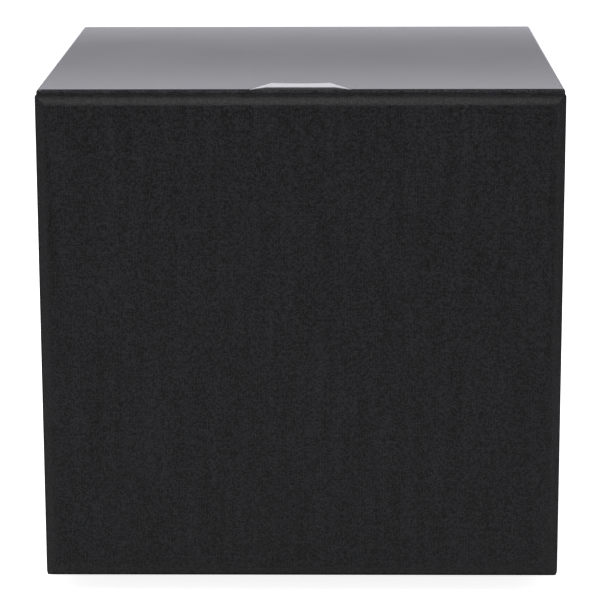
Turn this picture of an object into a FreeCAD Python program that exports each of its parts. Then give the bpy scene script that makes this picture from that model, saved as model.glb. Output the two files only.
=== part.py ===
import FreeCAD, Part
import math
import os

# Compact powered subwoofer: a closed cube of fibreboard with a ten-inch driver in its front,
# a cloth-covered grille that pulls off, and a plate amplifier in its back.
# Millimetres. X runs to the right as seen from the front, Y from the front to the back, Z up.
# The origin lies on the floor under the middle of the whole object's box.

Vector = FreeCAD.Vector

# ---- Driving dimensions -------------------------------------------------------------------

CABINET_WIDTH = 370.0
CABINET_HEIGHT = 353.0
CABINET_DEPTH = 353.0
WALL = 18.0  # fibreboard of the top, bottom, sides, back and brace
BAFFLE_THICKNESS = 25.0
LONG_EDGE_RADIUS = 2.0
RIM_RADIUS = 1.0  # front and back rims of the wrap
BRACE_FRONT_Y = -12.0
BRACE_BAR = 26.0
BRACE_WINDOW_RADIUS = 24.0

FOOT_HEIGHT = 12.0
FOOT_RADIUS = 20.0
FOOT_BOTTOM_RADIUS = 17.0
FOOT_CHAMFER = 1.0
FOOT_SETBACK = 46.0  # from the cabinet's front and back faces to a foot's middle
FOOT_INSET = 42.0  # from the cabinet's sides to a foot's middle
FOOT_WELL_RADIUS = 5.5
FOOT_WELL_DEPTH = 7.0
FOOT_SCREW_RADIUS = 2.0
FOOT_SCREW_REACH = 12.0  # into the bottom panel
FOOT_SCREW_HEAD_RADIUS = 4.3
FOOT_SCREW_HEAD = 2.4
FOOT_SCREW_CLEARANCE = 0.3

GRILLE_STACK = 22.0  # from the cabinet's front face to the cloth's face
GRILLE_STANDOFF = 1.4  # gap between the cabinet and the grille frame
CLOTH = 0.8
CLOTH_HEM = 9.0  # width of the cloth glued to the frame's back
HEM_CORNER = 1.0
HEM_MARGIN = 1.5  # between the cloth's edge and the frame's hollows
GRILLE_ROUNDOVER = 13.0
GRILLE_CORNER = 5.0
FRAME_RIM = 36.0
FRAME_SKIN = 3.0
FRAME_WINDOW_RADIUS = 10.0
FRAME_POCKET_DEPTH = 11.0
FRAME_RIB_PITCH = 44.0
CROSS_BAR_WIDTH = 8.0
CROSS_BAR_DEPTH = 5.0
CROSS_HUB_RADIUS = 16.0
CROSS_BAR_SETBACK = 1.5  # behind the frame's front face, so that it doesn't print through

PEG_X = 155.0
PEG_Z = 146.0
PEG_RADIUS = 4.2
PEG_TIP_RADIUS = 2.2
PEG_STRAIGHT = 8.0
PEG_ROOT_RADIUS = 3.0
PEG_ROOT_LENGTH = 7.0
PEG_LENGTH = 13.0
PEG_BOSS_RADIUS = 8.0
PEG_BOSS_LENGTH = FRAME_POCKET_DEPTH + 1.0
SOCKET_BORE_RADIUS = 4.5
SOCKET_BODY_RADIUS = 7.0
SOCKET_FLANGE_RADIUS = 9.0
SOCKET_FLANGE = 1.3
SOCKET_DEPTH = 15.0
SOCKET_FLOOR = 1.4

BADGE_FRONT_HALF = 35.5
BADGE_CREST_HALF = 24.0  # half the width of the top face at the front edge
BADGE_BACK_HALF = 20.7
BADGE_DEPTH = 28.5
BADGE_HOLLOW = 4.0  # how far the back edge curves in at its middle
BADGE_RISE = 1.6  # front edge above the cabinet's top; the back edge is almost flush
BADGE_BACK_RISE = 0.3
BADGE_SKIN = 0.4
BADGE_ROOT = 1.2  # depth of the pocket that it sits in
BADGE_GAP = 0.5

# Driver, as radii and as depths behind the cabinet's front face
FLANGE_RADIUS = 132.0
FLANGE_THICKNESS = 5.0
GASKET_THICKNESS = 1.0
GASKET_GAP = 0.5  # from the screws' shanks
REBATE_CLEARANCE = 0.5
BAFFLE_HOLE_RADIUS = 119.0
DRIVER_SCREW_CIRCLE = 125.0
DRIVER_SCREW_COUNT = 8
DRIVER_SCREW_RADIUS = 2.5
DRIVER_SCREW_LENGTH = 22.0
DRIVER_SCREW_HEAD_RADIUS = 4.6
DRIVER_SCREW_HEAD = 2.8
DRIVER_SCREW_FIRST = 22.5  # degrees
DRIVER_SCREW_CLEARANCE = 0.25
LEDGE_RADIUS = 112.0  # where the surround lands
LEDGE_OUTER_RADIUS = 116.5
LEDGE_DEPTH = 4.0
BASKET_RIM_RADIUS = 118.0  # of the wall behind the flange
BASKET_RIM_DEPTH = 16.0
BASKET_WAIST_RADIUS = 85.0
BASKET_WAIST_DEPTH = 56.0
BASKET_CUP_RADIUS = 66.0
BASKET_CUP_DEPTH = 68.0
BASKET_BORE_RADIUS = 30.0
BASKET_FLOOR = 4.0
BASKET_FLARE_DEPTH = 14.0  # where the inside starts to narrow towards the spider's ledge
SPOKE_COUNT = 6
WINDOW_ANGLE = 44.0
WINDOW_RADII = (76.0, 130.0)
WINDOW_DEPTHS = (20.0, 46.5)
VENT_ANGLE = 30.8  # of the smaller windows behind the spider
VENT_RADII = (50.0, 78.0)
VENT_DEPTHS = (64.0, 73.0)
VENT_SLOPE = 1.5  # how much further forward a vent begins at its outer radius
TERMINAL_WIDTH = 26.0
TERMINAL_RISE = (62.0, 70.0)
TERMINAL_DEPTHS = (69.0, 79.0)
TAG_X = 8.0
TAG_WIDTH = 4.8
TAG_LENGTH = 8.0
TAG_THICKNESS = 0.8
TAG_DEPTH = 75.0
SPIDER_DEPTH = 50.0
SPIDER_OUTER_RADIUS = 79.0
SPIDER_LEDGE_RADII = (70.0, 81.0)
SPIDER_COLLAR = 3.0  # flat width glued round the former
SPIDER_LAST_RADIUS = 68.0  # where its waves end and its flat rim begins
SPIDER_WAVES = 3
SPIDER_WAVE_HEIGHT = 2.0
SPIDER_THICKNESS = 1.0
SEAT_DEPTH = 80.0
TOP_PLATE_THICKNESS = 8.0
MAGNET_THICKNESS = 25.0
BACK_PLATE_THICKNESS = 8.0
PLATE_RADIUS = 60.0
MAGNET_RADIUS = 70.0
MAGNET_BORE_RADIUS = 36.0
GAP_RADIUS = 27.3
POLE_RADIUS = 24.5
POLE_PROUD = 1.0  # of the top plate's front face
VENT_RADIUS = 8.0
FORMER_INNER_RADIUS = 25.3
FORMER_RADIUS = 25.8
FORMER_FRONT_DEPTH = 41.0
FORMER_BACK_DEPTH = 98.0
WINDING_RADIUS = 26.7
WINDING_LENGTH = 24.0
CONE_RADIUS = 90.0
CONE_EDGE_DEPTH = 6.0
CONE_NECK_RADIUS = 28.0
CONE_NECK_DEPTH = 43.0
CONE_THICKNESS = 2.0
CONE_NECK_THICKNESS = 2.40
CONE_GLUE = 2.0  # of the glue fillet behind the neck
CAP_RADIUS = 38.0
CAP_RISE = 13.0
CAP_STEPS = 3
CAP_THICKNESS = 1.3
ROLL_RADIUS = 9.5
ROLL_THICKNESS = 1.6
ROLL_STEPS = 5
ROLL_OFFSET = 2.0  # from the cone's edge to where the roll's clear width starts
GLUED_WIDTH = 5.0  # of the surround's inner edge on the cone

# Plate amplifier
AMP_WIDTH = 236.0
AMP_HEIGHT = 262.0
AMP_CORNER = 8.0
AMP_LIP = 15.0  # how far the plate overlaps the back panel round its cut-out
AMP_PLATE_THICKNESS = 3.0
AMP_GASKET = 1.0
AMP_GASKET_GAP = 0.8  # from the screws' shanks
AMP_SCREW_EDGE = 7.5
AMP_SCREW_RADIUS = 2.0
AMP_SCREW_LENGTH = 12.0
AMP_SCREW_HEAD_RADIUS = 3.9
AMP_SCREW_HEAD = 2.4
AMP_SCREW_CLEARANCE = 0.3

SINK_WIDTH = 172.0
SINK_HEIGHT = 70.0
SINK_RISE = 83.0  # middle of the sink above the middle of the cabinet
SINK_BASE = 4.0
SINK_DEPTH = 14.0
SINK_FIN_COUNT = 18
SINK_FIN = 2.2
SINK_FIN_TIP = 1.6
SINK_OUTER_DEPTH = 10.0  # of the two outermost fins

CONTROL_RISE = 27.0
VOLUME_X = 78.0
CROSSOVER_X = 28.0
PHASE_X = -22.0
MODE_X = -62.0
LED_X = -94.0
LED_RADIUS = 1.5
LED_PROUD = 1.4
LED_INSIDE = 3.0
LED_CHAMFER = 0.5
KNOB_RADIUS = 11.0
KNOB_TOP_RADIUS = 9.4
KNOB_LENGTH = 15.0
KNOB_GAP = 1.0
KNOB_SKIRT = 2.0
KNOB_CHAMFER = 1.0
KNOB_FLUTES = 12
KNOB_FLUTE_RADIUS = 1.4
KNOB_FLUTE_DEPTH = 0.65
KNOB_FLUTE_START = 3.4
KNOB_POINTER_WIDTH = 1.2
KNOB_POINTER_LENGTH = 6.6
KNOB_POINTER_DEPTH = 0.7
KNOB_WELL_RADIUS = 7.5
KNOB_WELL_DEPTH = 6.5
SHAFT_RADIUS = 3.0
SHAFT_FLAT = 2.0  # from the axis to the flat on the shaft
SHAFT_CLEARANCE = 0.08
SHAFT_ROOT = 2.0  # from the bottom of the potentiometer's case
SHAFT_TIP = 2.0  # from the knob's face
BUSHING_RADIUS = 3.5
BUSHING_LENGTH = 5.5
NUT_ACROSS_FLATS = 10.0
NUT_THICKNESS = 2.0
POT_SIZE = 16.0
POT_DEPTH = 9.0
POT_CORNER = 2.0
POT_FLOOR = 1.8

SLIDER_WIDTH = 4.0
SLIDER_HEIGHT = 3.6
SLIDER_TRAVEL = 4.0
SLIDER_PROUD = 3.0
SLIDER_DEPTH = 5.0
SLIDER_CLEARANCE = 0.3
SLIDER_GROOVE = 0.5
SLIDER_GROOVE_PITCH = 1.2
SWITCH_BODY_WIDTH = 22.0
SWITCH_BODY_HEIGHT = 8.0
SWITCH_BODY_DEPTH = 7.0

RCA_RISE = -7.0
RCA_XS = (78.0, 52.0)
RCA_SHELL_RADIUS = 4.15
RCA_THREAD_RADIUS = 3.5
RCA_CORE_RADIUS = 3.0
RCA_CONTACT_RADIUS = 1.6
RCA_CONTACT_BORE = 1.1
RCA_RING_RADIUS = 7.0
RCA_RING = 1.5
RCA_NUT_ACROSS_FLATS = 11.0
RCA_NUT = 2.0
RCA_PROUD = 12.0
RCA_INSIDE = 9.0
RCA_TAIL = 3.0  # of the contact behind the shell
RCA_CORE_SINK = 1.0
RCA_CONTACT_SINK = 1.6
RCA_CONTACT_FLOOR = 2.0  # of the contact's bore, below the plate's face

INLET_X = -62.0
INLET_RISE = -80.0
INLET_WIDTH = 31.0
INLET_HEIGHT = 40.0
INLET_FLANGE = 2.5
INLET_CORNER = 2.0
INLET_BODY_WIDTH = 27.4
INLET_BODY_HEIGHT = 36.0
INLET_BODY_DEPTH = 21.0
INLET_CAVITY_WIDTH = 24.5
INLET_CAVITY_HEIGHT = 16.7
INLET_CAVITY_RISE = 8.0
INLET_CAVITY_DEPTH = 17.0
INLET_CAVITY_CHAMFER = 4.5
PIN_WIDTH = 2.0
PIN_HEIGHT = 4.0
PIN_PITCH = 7.0
PIN_OFFSET = 2.0
PIN_LENGTH = 12.0
PIN_TAIL = 8.0
DRAWER_WIDTH = 22.0
DRAWER_HEIGHT = 9.0
DRAWER_RISE = -12.0
DRAWER_DEPTH = 18.0
DRAWER_CLEARANCE = 0.3
DRAWER_FRONT = 3.0
DRAWER_BACK = 2.0
DRAWER_FLOOR = 2.2
DRAWER_NOTCH = (9.0, 2.4)
DRAWER_NOTCH_DEPTH = 1.4
FUSE_LENGTH = 20.0
FUSE_RADIUS = 2.5
FUSE_CAP = 5.0
FUSE_GLASS_RADIUS = 2.3
FUSE_PLAY = 0.3  # at each end
FUSE_LIFT = 0.05

ROCKER_X = -20.0
ROCKER_RISE = -80.0
ROCKER_BEZEL_WIDTH = 15.0
ROCKER_BEZEL_HEIGHT = 21.0
ROCKER_BEZEL = 1.8
ROCKER_BEZEL_CORNER = 1.5
ROCKER_BODY_WIDTH = 13.0
ROCKER_BODY_HEIGHT = 19.0
ROCKER_BODY_DEPTH = 17.0
ROCKER_WELL_WIDTH = 10.8
ROCKER_WELL_HEIGHT = 16.6
ROCKER_WELL_DEPTH = 8.0
ROCKER_WIDTH = 10.0
ROCKER_HALF = 7.2
ROCKER_TIP = 3.0
ROCKER_MIDDLE = 1.6
ROCKER_SHOULDER = (6.6, -1.5)
ROCKER_ROOT = 4.0
ROCKER_ROOT_HALF = 3.0
ROCKER_TILT = 8.0
ROCKER_PIN_RADIUS = 1.2
ROCKER_PIN_BORE = 1.35
ROCKER_PIN_REACH = 0.8  # of each pin into the wall beside the well
ROCKER_PIN_END = 0.2  # clear beyond each pin

TOROID_X = 48.0
TOROID_RISE = -66.0
TOROID_RADIUS = 42.0
TOROID_BORE = 12.0
TOROID_HEIGHT = 40.0
TOROID_EDGE = 9.0
TOROID_PAD = 1.5
TOROID_WASHER_RADIUS = 22.0
TOROID_WASHER = 1.5
TOROID_WASHER_FLAT = 12.0  # radius of its flat middle
TOROID_WASHER_RIM = 2.0
TOROID_WASHER_DISH = 2.5
TOROID_BOLT_RADIUS = 3.0
TOROID_BOLT_HEAD_RADIUS = 5.0
TOROID_BOLT_HEAD = 2.8
TOROID_NUT = 5.0
TOROID_NUT_ACROSS_FLATS = 10.0
BOARD_WIDTH = 190.0
BOARD_HEIGHT = 96.0
BOARD_RISE = 62.0
BOARD_THICKNESS = 1.6
BOARD_STANDOFF = 18.0
STANDOFF_RADIUS = 3.0
STANDOFF_INSET = 5.0
BOARD_HOLE_RADIUS = 1.6
CAPACITOR_RADIUS = 15.0
CAPACITOR_LENGTH = 36.0
CAPACITOR_EDGE = 1.5
CAPACITOR_XS = (-70.0, -34.0)
CAPACITOR_RISE = 70.0
TRANSISTOR_XS = (10.0, 34.0, 58.0)
TRANSISTOR_RISE = 95.0
TRANSISTOR_SIZE = (15.6, 20.0)
TRANSISTOR_THICKNESS = 4.8
TRANSISTOR_HOLE_RADIUS = 1.8
TRANSISTOR_HOLE_RISE = 6.0

WADDING_THICKNESS = 22.0
WADDING_ROUNDING = 9.0
WADDING_MARGIN = 12.0

# ---- Places worked out from them ----------------------------------------------------------

DEPTH_ALL = GRILLE_STACK + CABINET_DEPTH + KNOB_LENGTH
GRILLE_FACE_Y = -DEPTH_ALL / 2
FRONT_Y = GRILLE_FACE_Y + GRILLE_STACK
BACK_Y = FRONT_Y + CABINET_DEPTH
FRAME_FRONT_Y = GRILLE_FACE_Y + CLOTH
FRAME_BACK_Y = FRONT_Y - GRILLE_STANDOFF
PLATE_INNER_Y = BACK_Y - AMP_PLATE_THICKNESS
BOTTOM_Z = FOOT_HEIGHT
TOP_Z = BOTTOM_Z + CABINET_HEIGHT
MIDDLE_Z = (BOTTOM_Z + TOP_Z) / 2
INNER_HALF_X = CABINET_WIDTH / 2 - WALL
INNER_HALF_Z = CABINET_HEIGHT / 2 - WALL
CONTROL_Z = MIDDLE_Z + CONTROL_RISE
RCA_Z = MIDDLE_Z + RCA_RISE
INLET_Z = MIDDLE_Z + INLET_RISE
ROCKER_Z = MIDDLE_Z + ROCKER_RISE
TOROID_Z = MIDDLE_Z + TOROID_RISE
TOROID_BACK_Y = PLATE_INNER_Y - TOROID_PAD
TOROID_FRONT_Y = TOROID_BACK_Y - TOROID_HEIGHT
BOARD_Z = MIDDLE_Z + BOARD_RISE
BOARD_Y = PLATE_INNER_Y - BOARD_STANDOFF - BOARD_THICKNESS

X_AXIS = Vector(1, 0, 0)
Y_AXIS = Vector(0, 1, 0)
Z_AXIS = Vector(0, 0, 1)

# The two corners of the cabinet's front that each side of the wrap joins
SIDES = {
    "top": ((-1, 1), (1, 1)),
    "bottom": ((1, -1), (-1, -1)),
    "left": ((-1, -1), (-1, 1)),
    "right": ((1, 1), (1, -1)),
}


# ---- Ways of making solids ----------------------------------------------------------------


def block(x0, x1, y0, y1, z0, z1):
    return Part.makeBox(x1 - x0, y1 - y0, z1 - z0, Vector(x0, y0, z0))


def centred_block(x, z, width, height, y0, y1):
    return block(x - width / 2, x + width / 2, y0, y1, z - height / 2, z + height / 2)


def rod(radius, x, z, y0, y1):
    return Part.makeCylinder(radius, y1 - y0, Vector(x, y0, z), Y_AXIS)


def tube(outer, inner, x, z, y0, y1):
    return rod(outer, x, z, y0, y1).cut(rod(inner, x, z, y0, y1))


def edges_along(solid, axis):
    found = []
    for edge in solid.Edges:
        run = edge.Vertexes[-1].Point.sub(edge.Vertexes[0].Point)
        if run.Length > 1e-6 and abs(run.normalize().dot(axis)) > 0.999:
            found.append(edge)
    return found


def rounded_slab(width, height, radius, y0, y1, x=0.0, z=MIDDLE_Z):
    slab = centred_block(x, z, width, height, y0, y1)
    return slab.makeFillet(radius, edges_along(slab, Y_AXIS))


def outline(points, place):
    """A closed face. A point is (u, v), or (u, v, via_u, via_v) where an arc leads to it."""
    edges = []
    for before, point in zip(points, points[1:] + points[:1]):
        start = place(before[0], before[1])
        end = place(point[0], point[1])
        if len(point) == 4:
            edges.append(Part.Arc(start, place(point[2], point[3]), end).toShape())
        else:
            edges.append(Part.LineSegment(start, end).toShape())
    return Part.Face(Part.Wire(edges))


def turned(points, x, z, y=0.0, angle=360.0, start=0.0):
    """A solid turned about the line along Y through x and z, from points (radius, depth behind y)."""
    face = outline(points, lambda radius, depth: Vector(x + radius, y + depth, z))
    centre = Vector(x, 0, z)
    if start:
        face.rotate(centre, Y_AXIS, start)
    return face.revolve(centre, Y_AXIS, angle)


def hexagon(across_flats, x, z, y0, y1):
    corner = across_flats / math.sqrt(3)
    points = []
    for k in range(6):
        turn = math.radians(60 * k)
        points.append((x + corner * math.cos(turn), z + corner * math.sin(turn)))
    return outline(points, lambda u, v: Vector(u, y0, v)).extrude(Vector(0, y1 - y0, 0))


def ring_places(count, radius, first=0.0, x=0.0, z=MIDDLE_Z):
    for k in range(count):
        turn = math.radians(first + 360.0 * k / count)
        yield x + radius * math.cos(turn), z + radius * math.sin(turn)


def cut_all(solid, tools):
    for tool in tools:
        solid = solid.cut(tool)
    return solid


def fuse_all(solids):
    whole = solids[0].multiFuse(solids[1:]) if len(solids) > 1 else solids[0]
    return whole.removeSplitter()


# ---- Cabinet ------------------------------------------------------------------------------


def cabinet_wrap():
    """The top, bottom and sides before they are parted at their mitres."""
    wrap = rounded_slab(CABINET_WIDTH, CABINET_HEIGHT, LONG_EDGE_RADIUS, FRONT_Y, BACK_Y)
    rims = []
    for edge in wrap.Edges:
        depths = [vertex.Point.y for vertex in edge.Vertexes]
        if max(depths) - min(depths) < 1e-6:
            rims.append(edge)
    wrap = wrap.makeFillet(RIM_RADIUS, rims)
    hollow = centred_block(0, MIDDLE_Z, 2 * INNER_HALF_X, 2 * INNER_HALF_Z, FRONT_Y, BACK_Y)
    return wrap.cut(hollow)


def mitred_panel(wrap, side):
    """The part of the wrap between two mitres, which run from its outer to its inner corners."""
    first, last = SIDES[side]
    points = [(u * CABINET_WIDTH / 2, v * CABINET_HEIGHT / 2) for u, v in (first, last)]
    points += [(u * INNER_HALF_X, v * INNER_HALF_Z) for u, v in (last, first)]
    face = outline(points, lambda u, v: Vector(u, FRONT_Y, MIDDLE_Z + v))
    return wrap.common(face.extrude(Vector(0, CABINET_DEPTH, 0)))


def badge_outline(margin, base_z, height):
    """A prism on the badge's plan, grown by margin at its sides and back."""
    lean = math.atan2(BADGE_FRONT_HALF - BADGE_BACK_HALF, BADGE_DEPTH)
    side = margin / math.cos(lean)
    back = BADGE_DEPTH + margin
    points = [
        (-BADGE_FRONT_HALF - side, 0),
        (BADGE_FRONT_HALF + side, 0),
        (BADGE_BACK_HALF + side, back),
        (-BADGE_BACK_HALF - side, back, 0, back - BADGE_HOLLOW),
    ]
    face = outline(points, lambda u, v: Vector(u, FRONT_Y + v, base_z))
    return face.extrude(Vector(0, 0, height))


def badge_body():
    """A wedge that falls to the back, with a facet falling to each side."""
    body = badge_outline(0.0, TOP_Z - BADGE_ROOT, BADGE_ROOT + BADGE_RISE)
    crest = Vector(0, FRONT_Y, TOP_Z + BADGE_RISE)
    back = Vector(0, FRONT_Y + BADGE_DEPTH, TOP_Z + BADGE_BACK_RISE)
    body = body.cut(half_space(crest, back, Vector(10, FRONT_Y, TOP_Z + BADGE_RISE)))
    for side in (-1, 1):
        foot_point = Vector(side * BADGE_FRONT_HALF, FRONT_Y, TOP_Z)
        crest_point = Vector(side * BADGE_CREST_HALF, FRONT_Y, TOP_Z + BADGE_RISE)
        back_point = Vector(side * BADGE_BACK_HALF, FRONT_Y + BADGE_DEPTH, TOP_Z + BADGE_BACK_RISE)
        body = body.cut(half_space(foot_point, crest_point, back_point))
    return body


def half_space(first, second, third):
    """A large block lying above the plane through three points."""
    normal = second.sub(first).cross(third.sub(first)).normalize()
    if normal.z < 0:
        normal = normal.negative()
    size = CABINET_WIDTH
    space = Part.makeBox(size, size, size, Vector(-size / 2, -size / 2, 0))
    space.Placement = FreeCAD.Placement(first, FreeCAD.Rotation(Z_AXIS, normal))
    return space


def badge_plate(body):
    lower = body.copy()
    lower.translate(Vector(0, 0, -BADGE_SKIN))
    return body.cut(lower)


def badge_carrier(body):
    upper = body.copy()
    upper.translate(Vector(0, 0, -BADGE_SKIN))
    return body.common(upper)


def badge_pocket():
    """Room for the badge, open to the front and upwards."""
    pocket = badge_outline(BADGE_GAP, TOP_Z - BADGE_ROOT, WALL)
    front = pocket.copy()
    front.translate(Vector(0, -LONG_EDGE_RADIUS, 0))
    return pocket.fuse(front)


def front_baffle():
    back = FRONT_Y + BAFFLE_THICKNESS
    baffle = centred_block(0, MIDDLE_Z, 2 * INNER_HALF_X, 2 * INNER_HALF_Z, FRONT_Y, back)
    rebate = FLANGE_THICKNESS + GASKET_THICKNESS
    tools = [
        rod(FLANGE_RADIUS + REBATE_CLEARANCE, 0, MIDDLE_Z, FRONT_Y, FRONT_Y + rebate),
        rod(BAFFLE_HOLE_RADIUS, 0, MIDDLE_Z, FRONT_Y, back),
    ]
    for x, z in driver_screw_places():
        tools.append(rod(DRIVER_SCREW_RADIUS, x, z, FRONT_Y, FRONT_Y + DRIVER_SCREW_LENGTH))
    for x, z in peg_places():
        tools.append(rod(SOCKET_BODY_RADIUS, x, z, FRONT_Y, FRONT_Y + SOCKET_DEPTH))
    return cut_all(baffle, tools)


def window_brace():
    back = BRACE_FRONT_Y + WALL
    brace = centred_block(0, MIDDLE_Z, 2 * INNER_HALF_X, 2 * INNER_HALF_Z, BRACE_FRONT_Y, back)
    rim_and_half_bar = 3 * BRACE_BAR / 2
    width = INNER_HALF_X - rim_and_half_bar
    height = INNER_HALF_Z - rim_and_half_bar
    tools = []
    for side_x in (-1, 1):
        for side_z in (-1, 1):
            x = side_x * (BRACE_BAR + width) / 2
            z = MIDDLE_Z + side_z * (BRACE_BAR + height) / 2
            tools.append(rounded_slab(width, height, BRACE_WINDOW_RADIUS, BRACE_FRONT_Y, back, x, z))
    return cut_all(brace, tools)


def wadding(side):
    """A batt of wool held against one side wall between the baffle and the brace."""
    wall_x = side * INNER_HALF_X
    inner_x = side * (INNER_HALF_X - WADDING_THICKNESS)
    y0 = FRONT_Y + BAFFLE_THICKNESS + WADDING_MARGIN
    y1 = BRACE_FRONT_Y - WADDING_MARGIN / 4
    half = INNER_HALF_Z - WADDING_MARGIN
    batt = block(min(wall_x, inner_x), max(wall_x, inner_x), y0, y1, MIDDLE_Z - half, MIDDLE_Z + half)
    rounded = []
    for edge in batt.Edges:
        if all(abs(vertex.Point.x - inner_x) < 1e-6 for vertex in edge.Vertexes):
            rounded.append(edge)
    return batt.makeFillet(WADDING_ROUNDING, rounded)


def foot_places():
    for y in (FRONT_Y + FOOT_SETBACK, BACK_Y - FOOT_SETBACK):
        for x in (FOOT_INSET - CABINET_WIDTH / 2, CABINET_WIDTH / 2 - FOOT_INSET):
            yield x, y


def bottom_panel(wrap):
    panel = mitred_panel(wrap, "bottom")
    for x, y in foot_places():
        panel = panel.cut(Part.makeCylinder(FOOT_SCREW_RADIUS, FOOT_SCREW_REACH, Vector(x, y, BOTTOM_Z)))
    return panel


def foot(x, y):
    bore = FOOT_SCREW_RADIUS + FOOT_SCREW_CLEARANCE
    points = [
        (bore, FOOT_HEIGHT),
        (bore, FOOT_WELL_DEPTH),
        (FOOT_WELL_RADIUS, FOOT_WELL_DEPTH),
        (FOOT_WELL_RADIUS, 0),
        (FOOT_BOTTOM_RADIUS - FOOT_CHAMFER, 0),
        (FOOT_BOTTOM_RADIUS, FOOT_CHAMFER),
        (FOOT_RADIUS, FOOT_HEIGHT),
    ]
    face = outline(points, lambda u, v: Vector(x + u, y, v))
    return face.revolve(Vector(x, y, 0), Z_AXIS, 360)


def foot_screw(x, y):
    floor = Vector(x, y, FOOT_WELL_DEPTH)
    head = Part.makeCylinder(FOOT_SCREW_HEAD_RADIUS, FOOT_SCREW_HEAD, floor, Z_AXIS.negative())
    reach = FOOT_HEIGHT - FOOT_WELL_DEPTH + FOOT_SCREW_REACH
    return fuse_all([head, Part.makeCylinder(FOOT_SCREW_RADIUS, reach, floor)])


# ---- Grille -------------------------------------------------------------------------------


def peg_places():
    for x in (-PEG_X, PEG_X):
        for z in (-PEG_Z, 0.0, PEG_Z):
            yield x, MIDDLE_Z + z


def cushioned_slab(inset):
    """The grille's outer form: two bars with rounded front edges, crossed so that their corners mitre."""
    width = CABINET_WIDTH - 2 * inset
    height = CABINET_HEIGHT - 2 * inset
    front = GRILLE_FACE_Y + inset
    slab = rounded_slab(width, height, GRILLE_CORNER - inset, front, FRAME_BACK_Y)
    for axis in (X_AXIS, Z_AXIS):
        bar = centred_block(0, MIDDLE_Z, width, height, front, FRAME_BACK_Y)
        face_edges = []
        for edge in edges_along(bar, axis):
            if edge.Vertexes[0].Point.y < front + 1e-6:
                face_edges.append(edge)
        slab = slab.common(bar.makeFillet(GRILLE_ROUNDOVER - inset, face_edges))
    return slab


def hem_ring():
    """The cloth's margin, turned over and glued into a step round the frame's back."""
    inner = 2 * (CLOTH + CLOTH_HEM)
    depths = (FRAME_BACK_Y - CLOTH, FRAME_BACK_Y)
    corner = GRILLE_CORNER - CLOTH / 2
    outer = rounded_slab(CABINET_WIDTH - CLOTH, CABINET_HEIGHT - CLOTH, corner, *depths)
    hole = rounded_slab(CABINET_WIDTH - inner, CABINET_HEIGHT - inner, HEM_CORNER, *depths)
    return outer.cut(hole)


def grille_cloth():
    skin = cushioned_slab(0.0).cut(cushioned_slab(CLOTH))
    return skin.fuse(hem_ring()).removeSplitter()


def frame_opening():
    width = CABINET_WIDTH - 2 * (CLOTH + FRAME_RIM)
    height = CABINET_HEIGHT - 2 * (CLOTH + FRAME_RIM)
    return width, height


def rim_pockets():
    """Moulded-out hollows in the back of the rim, with webs left between them."""
    width, height = frame_opening()
    glued = CLOTH + CLOTH_HEM + HEM_MARGIN
    outer_x = CABINET_WIDTH / 2 - glued
    outer_z = CABINET_HEIGHT / 2 - glued
    inner_x = width / 2 + FRAME_SKIN
    inner_z = height / 2 + FRAME_SKIN
    count_x = round(2 * inner_x / FRAME_RIB_PITCH)
    count_z = round(2 * inner_z / FRAME_RIB_PITCH)
    long_x = 2 * inner_x / count_x
    long_z = 2 * inner_z / count_z
    depths = (FRAME_BACK_Y - FRAME_POCKET_DEPTH, FRAME_BACK_Y)
    pockets = []
    for side in (-1, 1):
        level_z = MIDDLE_Z + side * (inner_z + outer_z) / 2
        for k in range(count_x):
            x = (k + 0.5) * long_x - inner_x
            pockets.append(centred_block(x, level_z, long_x - FRAME_SKIN, outer_z - inner_z, *depths))
        upright_x = side * (inner_x + outer_x) / 2
        for k in range(count_z):
            z = MIDDLE_Z + (k + 0.5) * long_z - inner_z
            pockets.append(centred_block(upright_x, z, outer_x - inner_x, long_z - FRAME_SKIN, *depths))
    return pockets


def grille_frame():
    width, height = frame_opening()
    rim = cushioned_slab(CLOTH).cut(hem_ring())
    rim = rim.cut(rounded_slab(width, height, FRAME_WINDOW_RADIUS, FRAME_FRONT_Y, FRAME_BACK_Y))
    rim = cut_all(rim, rim_pockets())
    bar_front = FRAME_FRONT_Y + CROSS_BAR_SETBACK
    bar_back = bar_front + CROSS_BAR_DEPTH
    reach = FRAME_SKIN
    upright = centred_block(0, MIDDLE_Z, CROSS_BAR_WIDTH, height + reach, bar_front, bar_back)
    level = centred_block(0, MIDDLE_Z, width + reach, CROSS_BAR_WIDTH, bar_front, bar_back)
    hub = rod(CROSS_HUB_RADIUS, 0, MIDDLE_Z, bar_front, bar_back)
    bosses = []
    holes = []
    for x, z in peg_places():
        bosses.append(rod(PEG_BOSS_RADIUS, x, z, FRAME_BACK_Y - PEG_BOSS_LENGTH, FRAME_BACK_Y))
        holes.append(rod(PEG_ROOT_RADIUS, x, z, FRAME_BACK_Y - PEG_ROOT_LENGTH, FRAME_BACK_Y))
    frame = fuse_all([rim, upright, level, hub] + bosses)
    return cut_all(frame, holes)


def grille_peg(x, z):
    points = [
        (0, -PEG_ROOT_LENGTH),
        (PEG_ROOT_RADIUS, -PEG_ROOT_LENGTH),
        (PEG_ROOT_RADIUS, 0),
        (PEG_RADIUS, 0),
        (PEG_RADIUS, PEG_STRAIGHT),
        (PEG_TIP_RADIUS, PEG_LENGTH),
        (0, PEG_LENGTH),
    ]
    return turned(points, x, z, FRAME_BACK_Y)


def grille_socket(x, z):
    points = [
        (SOCKET_BORE_RADIUS, -SOCKET_FLANGE),
        (SOCKET_FLANGE_RADIUS, -SOCKET_FLANGE),
        (SOCKET_FLANGE_RADIUS, 0),
        (SOCKET_BODY_RADIUS, 0),
        (SOCKET_BODY_RADIUS, SOCKET_DEPTH),
        (0, SOCKET_DEPTH),
        (0, SOCKET_DEPTH - SOCKET_FLOOR),
        (SOCKET_BORE_RADIUS, SOCKET_DEPTH - SOCKET_FLOOR),
    ]
    return turned(points, x, z, FRONT_Y)


# ---- Driver -------------------------------------------------------------------------------


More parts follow.
